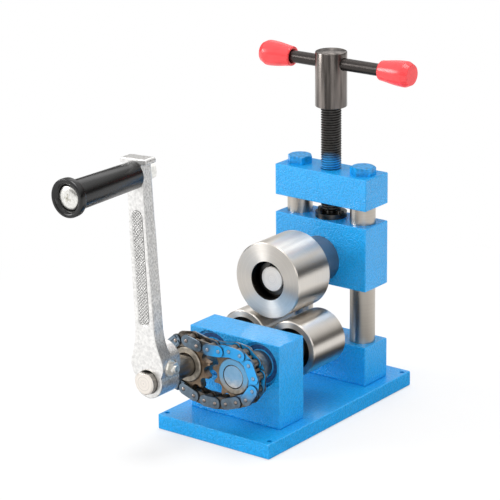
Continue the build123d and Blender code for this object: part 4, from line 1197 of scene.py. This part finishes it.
class BENDER_OT_chain(bpy.types.Operator):
    """Roller chain: oiled plates, bright riveted pins and the spring clip of its joining link"""

    bl_idname = "bender.chain"
    bl_label = "Chain"

    # a pin head's dome, as shares of its radius and height
    DOME = ((0, 1), (0.45, 0.94), (0.8, 0.68), (0.97, 0.3), (1, 0))
    JOINING_PINS = (11, 12)
    CLIP_OUTER = 4.3
    CLIP_INNER = 2.5
    CLIP_LEVELS = (0.15, 0.95)

    def execute(self, context):
        sizes = settings(context)[0]
        coat("chain_outer_links", FINISHES["chain"], 0.3 * MM)
        coat("chain_inner_links", FINISHES["inner_chain"], 0.25 * MM)
        coat("chain_cranked_link", FINISHES["chain"], 0.3 * MM)
        pins = chain_pins(sizes.chain_pitch / MM)
        front, back = span("chain_outer_links", 1)
        radius, height = sizes.rivet_radius, sizes.rivet_height
        dome = [(radius * r, height * h) for r, h in self.DOME] + [(radius, -0.4 * MM)]
        one, ones = turned_mesh(dome, 20)
        vertices, faces = [], []
        for x, z in pins:
            for level, way in ((front, "-Y"), (back, "Y")):
                place = lie_along((x * MM, level * MM, z * MM), way)
                start = len(vertices)
                vertices += [tuple(place @ Vector(v)) for v in one]
                faces += [[start + k for k in face] for face in ones]
        flat = Matrix.Identity(4)
        rivets = make_piece("chain_rivet_heads", vertices, faces, flat, "frame", FINISHES["rivet"], smooth=50)
        self.spring_clip(*(pins[number] for number in self.JOINING_PINS), front)
        return {"FINISHED"}

    def spring_clip(self, start, end, front):
        """Open spring clip over the joining link's two pins."""
        reach = math.hypot(end[0] - start[0], end[1] - start[1])
        outer, inner = self.CLIP_OUTER, self.CLIP_INNER
        outline = [(-2.6, outer)]
        outline += [(reach + x, z) for x, z in arc(outer, 90, -90, 14)]
        outline += [(-2.6, -outer), (-3.2, -1.4), (-1.6, -inner)]
        outline += [(reach + x, z) for x, z in arc(inner, -90, 90, 14)]
        outline += [(-1.6, inner), (-3.2, 1.4)]
        vertices = [(x * MM, z * MM, level * MM) for level in self.CLIP_LEVELS for x, z in outline]
        tilt = math.atan2(end[1] - start[1], end[0] - start[0])
        place = (
            Matrix.Translation((start[0] * MM, front * MM, start[1] * MM))
            @ Matrix.Rotation(-tilt, 4, "Y")
            @ Matrix.Rotation(math.pi / 2, 4, "X")
        )
        faces = slab_faces(len(outline))
        clip = make_piece("chain_spring_clip", vertices, faces, place, "frame", FINISHES["chain"], smooth=40)


def crank_place():
    """The crank's own frame: its shaft on Y, its arm straight up Z."""
    x, _, z = JOINTS["crank_spin"]["pos_m"]
    return Matrix.Translation((x, 0, z)) @ Matrix.Rotation(CRANK_LEAN, 4, "Y")


def prism(outline, near, far):
    """Vertices and faces of an (x, z) outline in millimetres drawn out along Y."""
    return [(x * MM, y * MM, z * MM) for y in (near, far) for x, z in outline], slab_faces(len(outline))


def helper_object(name, vertices, faces, matrix=None):
    """A rough solid that combine uses up."""
    made = bpy.data.objects.new(name, solid_mesh(name, vertices, faces))
    bpy.context.scene.collection.objects.link(made)
    if matrix:
        made.matrix_world = matrix
    return made


def combine(base, steps, voxel=0.0, smoothing=0):
    """Join or cut helpers into base, melt the joints together, and return the mesh."""
    for helper, operation in steps:
        cut = base.modifiers.new(helper.name, "BOOLEAN")
        cut.object = helper
        cut.operation = operation
        cut.solver = "EXACT"
    if voxel:
        melt = base.modifiers.new("Melt", "REMESH")
        melt.mode = "VOXEL"
        melt.voxel_size = voxel
    if smoothing:
        soften = base.modifiers.new("Soften", "SMOOTH")
        soften.factor = 0.5
        soften.iterations = smoothing
    bpy.context.view_layer.update()
    evaluated = base.evaluated_get(bpy.context.evaluated_depsgraph_get())
    mesh = bpy.data.meshes.new_from_object(evaluated)
    for helper in [base] + [step[0] for step in steps]:
        spare = helper.data
        bpy.data.objects.remove(helper)
        bpy.data.meshes.remove(spare)
    return mesh


class BENDER_OT_crank(bpy.types.Operator):
    """Cast crank arm with its sunk knurled panel, and the cotter that holds it"""

    bl_idname = "bender.crank"
    bl_label = "Crank arm"

    # millimetres, from the shaft's axis up the arm
    BOSS_RADIUS = 16.2
    BORE_RADIUS = 11.05
    PAD_RADIUS = 19.0
    PAD_HEIGHT = 16.0
    SHOULDER_TOP = (11.2, 48.0)
    SHOULDER_HOLLOW = 2.0
    ARM_TOP_HALF = 9.2
    ARM_OVER_GRIP = 14.0
    LUG_OVER_GRIP = 15.2
    # top, foot and half width of the sunk panel
    PANEL = (163.5, 53.5, 6.5)
    PANEL_DEPTH = 1.1
    SPOT_RADIUS = 8.3
    SPOT_END = 34.0
    # the casting's joints melt together over about two of these
    MELT = 0.7 * MM
    CUT_PAST = 2.0

    def execute(self, context):
        front, back = span("crank_arm", 1)
        place = crank_place()
        mesh = self.casting(front, back)
        casting = place_mesh("crank_casting", mesh, place, "drive", FINISHES["casting"], 70)
        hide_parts("crank_arm")
        self.knurl(settings(context)[0].knurl_pitch / MM, front, place)
        self.cotter((front + back) / 2, place)
        return {"FINISHED"}

    def casting(self, front, back):
        """Arm, boss, cotter pad and top lug in one, with the panel, the bore and the nut's face cut in."""
        arm_back = front + ARM_THICK
        along_shaft = lie_along((0, 0, 0), "Y")
        over_pad = lie_along((0, 0, self.PAD_HEIGHT * MM), "Y")
        across = lie_along((0, (front + back) / 2 * MM, COTTER_HEIGHT * MM), "X")
        panel = prism(self.stadium(*self.PANEL), front - 3, front + self.PANEL_DEPTH)
        spot = self.drum(self.SPOT_RADIUS, COTTER_SEAT, self.SPOT_END, 48)
        bore = self.drum(self.BORE_RADIUS, front - self.CUT_PAST, back + self.CUT_PAST)
        arm = helper_object("arm_blank", *prism(self.arm_outline(), front, arm_back))
        parts = (
            ("boss_blank", self.drum(self.BOSS_RADIUS, front, back), along_shaft, "UNION"),
            ("pad_blank", self.drum(self.PAD_RADIUS, front, back), over_pad, "UNION"),
            ("top_lug", prism(self.lug_outline(), front, arm_back), None, "UNION"),
            ("panel_cut", panel, None, "DIFFERENCE"),
            ("shaft_bore", bore, along_shaft, "DIFFERENCE"),
            ("cotter_face", spot, across, "DIFFERENCE"),
        )
        steps = [(helper_object(name, *shape, matrix), action) for name, shape, matrix, action in parts]
        return combine(arm, steps, voxel=self.MELT, smoothing=4)

    @staticmethod
    def drum(radius, near, far, sides=96):
        """A plain solid drum in millimetres."""
        outline = [(0, near), (radius, near), (radius, far), (0, far)]
        return turned_mesh([(r * MM, h * MM) for r, h in outline], sides)

    def lug_outline(self):
        """The flat lug across the arm's top, with its corners cut."""
        half, top = 15.5, CRANK_THROW + self.LUG_OVER_GRIP
        return [
            (-half, top - 1.8), (1.6 - half, top), (half - 1.6, top), (half, top - 1.8),
            (half, top - 4.4), (half - 0.9, top - 5.2), (0.9 - half, top - 5.2), (-half, top - 4.4),
        ]

    def arm_outline(self):
        """The arm seen from the front: hollow shoulders rising from the pad, then straight tapering sides."""
        turn = math.radians(25)
        start = Vector((0, self.PAD_HEIGHT)) + self.PAD_RADIUS * Vector((math.cos(turn), math.sin(turn)))
        end = Vector(self.SHOULDER_TOP)
        bend = (start + end) / 2 - Vector((self.SHOULDER_HOLLOW, 0.0))
        right = [(0.0, 10.0)]
        right += [tuple(bowed(start, bend, end, k / 12)) for k in range(13)]
        right += [(self.ARM_TOP_HALF, CRANK_THROW), (self.ARM_TOP_HALF, CRANK_THROW + self.ARM_OVER_GRIP)]
        return right + [(-x, z) for x, z in reversed(right[1:])]

    @staticmethod
    def stadium(high, low, radius, steps=16):
        """An upright slot outline with round ends."""
        top = [(x, high - radius + z) for x, z in arc(radius, 0, 180, steps)]
        return top + [(x, low + radius + z) for x, z in arc(radius, 180, 360, steps)]

    @staticmethod
    def knurl(pitch, front, place):
        """Raised diamonds over the floor of the sunk panel."""
        low, high, half = 54.0, 163.0, 6.0
        step, crest, steepness = 0.3, 0.85, 2.6
        floor, below = front + 1.15, -1.0
        columns = int(2 * half / step) + 1
        rows = int((high - low) / step) + 1

        def wave(value):
            return abs(2 * (value - math.floor(value)) - 1)

        vertices = []
        for i in range(rows):
            z = low + i * step
            past_end = max(low + half - z, z - (high - half), 0.0)
            for j in range(columns):
                x = -half + j * 2 * half / (columns - 1)
                diamond = min(wave((x + z) / pitch), wave((x - z) / pitch))
                inside = math.hypot(x, past_end) < half
                rise = crest * min(1.0, steepness * diamond) if inside else below
                vertices.append((x * MM, (floor - rise) * MM, z * MM))
        corners = [i * columns + j for i in range(rows - 1) for j in range(columns - 1)]
        faces = [[a, a + 1, a + columns + 1, a + columns] for a in corners]
        piece = make_piece("crank_knurl", vertices, faces, place, "drive", FINISHES["knurl"], 180)

    @staticmethod
    def cotter(level, place):
        """The cotter pin, its threaded end, and the washer and nut on it."""
        coat("cotter_pin", FINISHES["zinc"], 0.4 * MM)
        along = place @ lie_along((0, level * MM, COTTER_HEIGHT * MM), "X")
        radius, edge, washer_thick = 3.5, 0.6, 1.5
        near, far = COTTER_SEAT, COTTER_SEAT + 8.8
        outline = [(0, near), (radius, near), (radius, far - edge), (radius - edge, far), (0, far)]
        stud = make_turned("cotter_stud", outline, along, "drive", FINISHES["zinc"], sides=40)
        nut_seat = near + washer_thick
        outline = both_ends([(radius + 0.1, 0), (7.6, 0), (8.0, 0.3)], near, nut_seat)
        washer = make_turned("cotter_washer_round", outline, along, "drive", FINISHES["zinc"], closed=True)
        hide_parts("cotter_washer")
        vertices, faces = hexagon_head(11 * MM, 5.5 * MM, bore=3.4 * MM)
        seat = along @ Matrix.Translation((0, 0, nut_seat * MM))
        nut = make_piece("cotter_nut_hexagon", vertices, faces, seat, "drive", FINISHES["zinc"])
        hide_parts("cotter_nut")


class BENDER_OT_grip(bpy.types.Operator):
    """Flanged black grip, its cross-recessed bolt and the nut behind the arm"""

    bl_idname = "bender.grip"
    bl_label = "Crank grip"

    BORE = 5.3
    BARREL = 13.7
    RIM = 16.7
    HEAD_RADIUS = 10.8
    HEAD_RISE = 2.5
    HEAD_THICK = 3.6
    SHANK_RADIUS = 5.0
    # half length, half width and depth of each arm of the cross, and how much its floor narrows
    CROSS = (5.0, 1.25, 2.6)
    CROSS_TAPER = (0.42, 0.8)
    CROSS_TURNS = (0, 90)
    CROSS_START = 20

    def execute(self, context):
        place = crank_place() @ lie_along((0, 0, CRANK_THROW * MM), "Y")
        grip = make_turned(
            "crank_grip_moulded", self.outline(), place, "grip", FINISHES["grip"],
            sides=112, closed=True, smooth=50,
        )
        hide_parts("crank_grip")
        self.bolt(place)
        arm_back = span("crank_arm", 1)[0] + ARM_THICK
        vertices, faces = hexagon_head(17 * MM, 8 * MM, bore=self.SHANK_RADIUS * MM)
        seat = place @ Matrix.Translation((0, 0, arm_back * MM))
        nut = make_piece("grip_nut_hexagon", vertices, faces, seat, "drive", FINISHES["zinc"])
        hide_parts("grip_nut")
        return {"FINISHED"}

    def outline(self):
        """Half section of the grip: a tapering barrel, a flare, a thick rounded rim and a dished end."""
        outer, inner = span("crank_grip", 1)
        outline = [(self.BORE, inner), (11.6, inner), (12.25, inner - 0.3), (12.6, inner - 1.0)]
        outline.append((self.BARREL, outer + 12.0))
        for x, y in arc(1, 9, 90, 9):
            outline.append((self.BARREL + (self.RIM - self.BARREL) * (1 - x), outer + 7.6 + 4.4 * (1 - y)))
        for k, (x, y) in enumerate(arc(1, 90, -90, 10)):
            middle, reach = (5.8, 1.8) if k < 5 else (2.4, 2.4)
            outline.append((self.RIM + 1.1 * x, outer + middle + reach * y))
        outline += [(14.4, outer + 0.1), (13.6, outer + 0.7), (11.4, outer + 5.3), (self.BORE, outer + 5.5)]
        return outline

    def bolt(self, place):
        """Pan head with a cross recess, on its shank."""
        near, far = span("grip_bolt", 1)
        shoulder = near + self.HEAD_THICK
        outline = [(0, near)]
        for x, y in arc(1, 7.5, 90, 11):
            # a pan head is a little fuller at its edge than an ellipse
            outline.append((self.HEAD_RADIUS * y**0.9, near + self.HEAD_RISE * (1 - x)))
        outline += [
            (self.HEAD_RADIUS, shoulder), (self.SHANK_RADIUS, shoulder), (self.SHANK_RADIUS, far - 0.6),
            (self.SHANK_RADIUS - 0.6, far), (0, far),
        ]
        head = helper_object("bolt_blank", *turned_mesh([(r * MM, h * MM) for r, h in outline], 80))
        long, wide, depth = self.CROSS
        narrow, thin = self.CROSS_TAPER
        top = [(-long, -wide), (long, -wide), (long, wide), (-long, wide)]
        points = [(x * MM, y * MM, (near - 1) * MM) for x, y in top]
        points += [(x * narrow * MM, y * thin * MM, (near + depth) * MM) for x, y in top]
        cuts = []
        for turn in self.CROSS_TURNS:
            spun = Matrix.Rotation(math.radians(turn + self.CROSS_START), 4, "Z")
            cuts.append((helper_object(f"cross_{turn}", points, slab_faces(4), spun), "DIFFERENCE"))
        mesh = combine(head, cuts)
        piece = place_mesh("grip_bolt_recessed", mesh, place, "drive", FINISHES["zinc"], 35)
        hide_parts("grip_bolt")


class BENDER_OT_screw(bpy.types.Operator):
    """Pressure screw with a real right-hand thread, and its two half-ring retainer"""

    bl_idname = "bender.screw"
    bl_label = "Pressure screw"

    FOOT_RADIUS = 8 * MM
    FOOT_NECK = 5.5 * MM
    FOOT_GAP = 0.1 * MM
    # root flat, rising flank, crest flat and falling flank, as shares of the pitch
    ROOT_START, ROOT_END, CREST_START, CREST_END, FLANK_END = 0.0, 0.12, 0.46, 0.60, 0.94

    def execute(self, context):
        sizes = settings(context)[0]
        x, y, _ = JOINTS["screw_turn"]["pos_m"]
        place = Matrix.Translation((x, y, 0))
        low, high = (value * MM for value in span("pressure_screw", 2))
        thread_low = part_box("retainer_screws")[1].z + 0.3 * MM
        vertices, faces = self.thread(sizes, thread_low, high)
        screw = make_piece("pressure_screw_thread", vertices, faces, place, "screw", FINISHES["thread"], 40)
        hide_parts("pressure_screw")
        foot_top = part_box("slide_block")[1].z - self.FOOT_GAP
        neck_top = thread_low + MM
        outline = [
            (0, low), (self.FOOT_RADIUS, low), (self.FOOT_RADIUS, foot_top), (self.FOOT_NECK, foot_top),
            (self.FOOT_NECK, neck_top), (0, neck_top),
        ]
        foot = make_piece("pressure_screw_foot", *turned_mesh(outline, 64), place, "screw", FINISHES["black"])
        coat("screw_retainers", FINISHES["black"], 0.5 * MM)
        coat("retainer_screws", FINISHES["black"], 0.4 * MM)
        return {"FINISHED"}

    @classmethod
    def thread(cls, sizes, low, high, sides=48):
        """A helix of a sixty-degree thread, cut square at both ends."""
        pitch, crest = sizes.thread_pitch, sizes.thread_radius
        root = crest - sizes.thread_depth
        profile = [
            (cls.ROOT_START, root), (cls.ROOT_END, root), (cls.CREST_START, crest), (cls.CREST_END, crest),
            (cls.FLANK_END, root),
        ]
        # one and a half turns start below, and as many end above, so that both ends are cut square
        turns = [turn - 1.5 for turn in range(int((high - low) / pitch) + 3)]
        rows = [(low + (turn + share) * pitch, radius) for turn in turns for share, radius in profile]
        vertices = []
        for height, radius in rows:
            for side in range(sides):
                turn = 2 * math.pi * side / sides
                z = min(max(height + pitch * side / sides, low), high)
                vertices.append((radius * math.cos(turn), radius * math.sin(turn), z))

        def corner(row, side):
            """The last side of a row joins the first side of the row one turn higher."""
            return (row + len(profile)) * sides if side == sides else row * sides + side

        faces = []
        for row in range(len(rows) - 1):
            for side in range(sides):
                face = [corner(row, side), corner(row, side + 1)]
                face += [corner(row + 1, side + 1), corner(row + 1, side)]
                if max(face) < len(vertices):
                    faces.append(face)
        for level in (low, high):
            faces.append(list(range(len(vertices), len(vertices) + sides)))
            vertices += [(x, y, level) for x, y in arc(root, 0, 360, sides)[:-1]]
        return vertices, faces


class BENDER_OT_head(bpy.types.Operator):
    """Round T-head of the pressure screw, with its cross hole"""

    bl_idname = "bender.head"
    bl_label = "T-head"

    SIDES = 96
    SOCKET_RADIUS = 10.1
    SOCKET_EDGE = (1.1, 1.2)
    BAR_CLEARANCE = 0.3
    HOLE_REACH = 30 * MM

    def execute(self, context):
        sizes = settings(context)[0]
        x, y, _ = JOINTS["screw_turn"]["pos_m"]
        place = Matrix.Translation((x, y, 0))
        low, high = span("screw_head", 2)
        radius = sizes.head_radius / MM
        wide, deep = self.SOCKET_EDGE
        outline = [
            (self.SOCKET_RADIUS, low + deep), (self.SOCKET_RADIUS + wide, low),
            (radius - 1.0, low), (radius - 0.3, low + 0.35), (radius, low + 1.0),
            (radius, high - 1.2), (radius - 0.35, high - 0.45), (radius - 1.2, high), (0, high),
        ]
        vertices, faces = turned_mesh([(r * MM, h * MM) for r, h in outline], self.SIDES)
        faces.append(list(range(self.SIDES)))
        blank = helper_object("head_blank", vertices, faces)
        bar_height = sum(span("tommy_bar", 2)) / 2 * MM
        bore = (sizes.bar_radius / MM + self.BAR_CLEARANCE) * MM
        reach = self.HOLE_REACH
        rod = turned_mesh([(0, -reach), (bore, -reach), (bore, reach), (0, reach)], 64)
        hole = helper_object("bar_hole", *rod, lie_along((0, 0, bar_height), "X"))
        mesh = combine(blank, [(hole, "DIFFERENCE")])
        head = place_mesh("screw_head_turned", mesh, place, "screw", FINISHES["gunmetal"], 35)
        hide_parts("screw_head")
        return {"FINISHED"}


class BENDER_OT_bar(bpy.types.Operator):
    """Sliding tommy bar with its two dipped red caps"""

    bl_idname = "bender.bar"
    bl_label = "Bar and caps"

    BAR_EDGE = 0.5
    MOUTH_RADIUS = 9.8
    MOUTH_LENGTH = 2.6
    SHOULDER = 7.0
    SWELL = 1.15
    CAP_EDGE = 0.5

    def execute(self, context):
        sizes = settings(context)[0]
        low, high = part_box("tommy_bar")
        centre = (low + high) / 2
        radius = sizes.bar_radius / MM
        half_outline = [(0, 0), (radius - self.BAR_EDGE, 0), (radius, self.BAR_EDGE)]
        outline = both_ends(half_outline, *span("tommy_bar", 0))
        place = lie_along((0, centre.y, centre.z), "X")
        bar = make_turned("tommy_bar_round", outline, place, "bar", FINISHES["bar"])
        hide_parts("tommy_bar")
        for side, way in (("left", "-X"), ("right", "X")):
            node = "bar_cap_" + side
            near, far = span(node, 0)
            outline = self.cap_outline(radius, sizes.cap_radius / MM, far - near)
            mouth = far if side == "left" else near
            place = lie_along((mouth * MM, centre.y, centre.z), way)
            cap = make_turned(node + "_dipped", outline, place, "bar", FINISHES["vinyl"], sides=80, smooth=24)
            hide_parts(node)
        return {"FINISHED"}

    def cap_outline(self, bar, widest, long):
        """Half section from the bar out: a rolled mouth, a swelling cone and a bevelled flat end."""
        mouth, start = self.MOUTH_RADIUS, self.MOUTH_LENGTH
        outline = [
            (bar + 0.5, 1.5), (bar + 0.7, 0.7), (bar + 1.4, 0.1), (mouth - 1.2, 0.0), (mouth - 0.4, 0.5),
            (mouth - 0.1, 1.4), (mouth, start),
        ]
        for k in range(1, 13):
            t = k / 12
            swell = math.sin(t * math.pi / 2) ** self.SWELL
            outline.append((mouth + (widest - mouth) * swell, start + (long - self.SHOULDER - start) * t))
        end = [
            (widest, long - self.SHOULDER), (widest - 0.1, long - 5.6), (mouth + 0.2, long - 0.4),
            (mouth - 0.4, long), (0, long),
        ]
        return outline + rounded(end, self.CAP_EDGE)[1:]


class BENDER_OT_stage(bpy.types.Operator):
    """Camera at the photographed angle, soft studio light and a pale floor"""

    bl_idname = "bender.stage"
    bl_label = "Stage"

    FLOOR_HALF = 30.0
    FLOOR_DROP = 0.0003
    LAMP_AIM = (0, 0, 0.14)
    # name, place, side of the square and watts
    LAMPS = (
        ("key_softbox", (-2.4, -2.0, 1.2), 1.2, 48.0),
        ("top_softbox", (0.1, 0.1, 2.6), 1.4, 30.0),
        ("back_softbox", (-1.1, 2.0, 1.5), 1.2, 3.5),
        ("side_softbox", (2.0, -1.9, 0.9), 1.2, 9.0),
    )
    # what mirrors see, by height above the horizon: 0 is level and 1 straight up
    SURROUND = {
        0.0: "#A09E9B", 0.05: "#5A5754", 0.11: "#1F1D1C", 0.22: "#23211F", 0.34: "#8F8C89",
        0.50: "#E8E8E7", 0.60: "#FFFFFF", 1.0: "#FFFFFF",
    }
    ROOM_COLOUR = "#F6F5F4"
    ROOM_STRENGTH = 0.68

    def execute(self, context):
        _, colours, stage = settings(context)
        scene = context.scene
        self.camera(scene, stage)
        self.floor(scene, colours)
        for name, place, size, power in self.LAMPS:
            self.lamp(scene, name, place, size, power)
        self.sky(scene)
        scene.view_settings.view_transform = "Standard"
        return {"FINISHED"}

    def floor(self, scene, colours):
        """A wide board just below the feet."""
        half = self.FLOOR_HALF
        corners = [(-half, -half, 0), (half, -half, 0), (half, half, 0), (-half, half, 0)]
        mesh = bpy.data.meshes.new("studio_floor")
        mesh.from_pydata(corners, [], [(0, 1, 2, 3)])
        floor = bpy.data.objects.new("studio_floor", mesh)
        scene.collection.objects.link(floor)
        floor.location.z = -self.FLOOR_DROP
        mesh.materials.append(studio_floor(colours.floor))

    @staticmethod
    def camera(scene, stage):
        """The photographed view: bearing, look down and roll, from the camera's place."""
        data = bpy.data.cameras.new("studio_camera")
        data.lens = stage.lens
        data.sensor_width = 36.0
        data.clip_start, data.clip_end = 0.05, 100.0
        camera = bpy.data.objects.new("studio_camera", data)
        scene.collection.objects.link(camera)
        azimuth, elevation = stage.azimuth, stage.elevation
        level = math.cos(elevation)
        back = Vector((math.sin(azimuth) * level, -math.cos(azimuth) * level, math.sin(elevation)))
        right = (-back).cross(Vector((0, 0, 1))).normalized()
        up = right.cross(-back)
        turn = Matrix((right, up, back)).transposed().to_4x4() @ Matrix.Rotation(stage.roll, 4, "Z")
        camera.matrix_world = Matrix.Translation(stage.camera_place) @ turn
        scene.camera = camera

    def lamp(self, scene, name, place, size, power):
        """A square softbox that faces the machine."""
        data = bpy.data.lights.new(name, "AREA")
        data.shape = "SQUARE"
        data.size = size
        data.energy = power
        lamp = bpy.data.objects.new(name, data)
        scene.collection.objects.link(lamp)
        lamp.location = place
        aim = Vector(self.LAMP_AIM) - Vector(place)
        lamp.rotation_mode = "QUATERNION"
        lamp.rotation_quaternion = aim.to_track_quat("-Z", "Y")

    def sky(self, scene):
        """A pale room; mirrors also see a dark strip above the horizon, as between table and softboxes."""
        world = bpy.data.worlds.new("studio_surround")
        scene.world = world
        world.use_nodes = True
        tree = world.node_tree
        tree.nodes.clear()
        where = add_node(tree, "ShaderNodeTexCoord").outputs["Generated"]
        split = add_node(tree, "ShaderNodeSeparateXYZ", links={"Vector": where})
        bands = add_node(tree, "ShaderNodeValToRGB", links={"Fac": split.outputs["Z"]})
        stops = bands.color_ramp.elements
        stops[0].position, stops[1].position = 0.0, 1.0
        for position, code in self.SURROUND.items():
            stop = stops[0] if position == 0 else stops[-1] if position == 1 else stops.new(position)
            stop.color = srgb(code)
        path = add_node(tree, "ShaderNodeLightPath").outputs
        plain = {"Color": srgb(self.ROOM_COLOUR), "Strength": self.ROOM_STRENGTH}
        room = add_node(tree, "ShaderNodeBackground", plain)
        banded = add_node(tree, "ShaderNodeBackground", {"Strength": 1.0}, {"Color": bands.outputs["Color"]})
        white = add_node(tree, "ShaderNodeBackground", {"Color": (1.0, 1.0, 1.0, 1.0), "Strength": 1.0})
        mirrored = mix_shaders(tree, path["Is Glossy Ray"], room, banded)
        seen = mix_shaders(tree, path["Is Camera Ray"], mirrored, white)
        add_node(tree, "ShaderNodeOutputWorld", links={"Surface": seen.outputs[0]})


class BENDER_PT_panel(bpy.types.Panel):
    """Sizes, colours and pieces of the roll bender"""

    bl_idname = "BENDER_PT_panel"
    bl_label = "Roll bender"
    bl_space_type = "VIEW_3D"
    bl_region_type = "UI"
    bl_category = "Roll bender"

    def draw(self, context):
        for group in settings(context):
            box = self.layout.box()
            for name in group.__annotations__:
                box.prop(group, name)
        for operator in OPERATOR_CLASSES:
            self.layout.operator(operator.bl_idname)


OPERATOR_CLASSES = (
    BENDER_OT_finishes,
    BENDER_OT_blocks,
    BENDER_OT_columns,
    BENDER_OT_rollers,
    BENDER_OT_axle,
    BENDER_OT_shafts,
    BENDER_OT_sprockets,
    BENDER_OT_chain,
    BENDER_OT_crank,
    BENDER_OT_grip,
    BENDER_OT_screw,
    BENDER_OT_head,
    BENDER_OT_bar,
    BENDER_OT_stage,
)
CLASSES = (BenderSizes, BenderColours, BenderStage, BENDER_PT_panel) + OPERATOR_CLASSES


def register():
    for made in CLASSES:
        bpy.utils.register_class(made)
    bpy.types.Scene.bender_sizes = PointerProperty(type=BenderSizes)
    bpy.types.Scene.bender_colours = PointerProperty(type=BenderColours)
    bpy.types.Scene.bender_stage = PointerProperty(type=BenderStage)


def unregister():
    del bpy.types.Scene.bender_stage
    del bpy.types.Scene.bender_colours
    del bpy.types.Scene.bender_sizes
    for made in reversed(CLASSES):
        bpy.utils.unregister_class(made)


def main():
    """Build every piece in order."""
    register()
    for operator in OPERATOR_CLASSES:
        group, name = operator.bl_idname.split(".")
        getattr(getattr(bpy.ops, group), name)()
    bpy.context.view_layer.update()


if __name__ == "__main__":
    main()
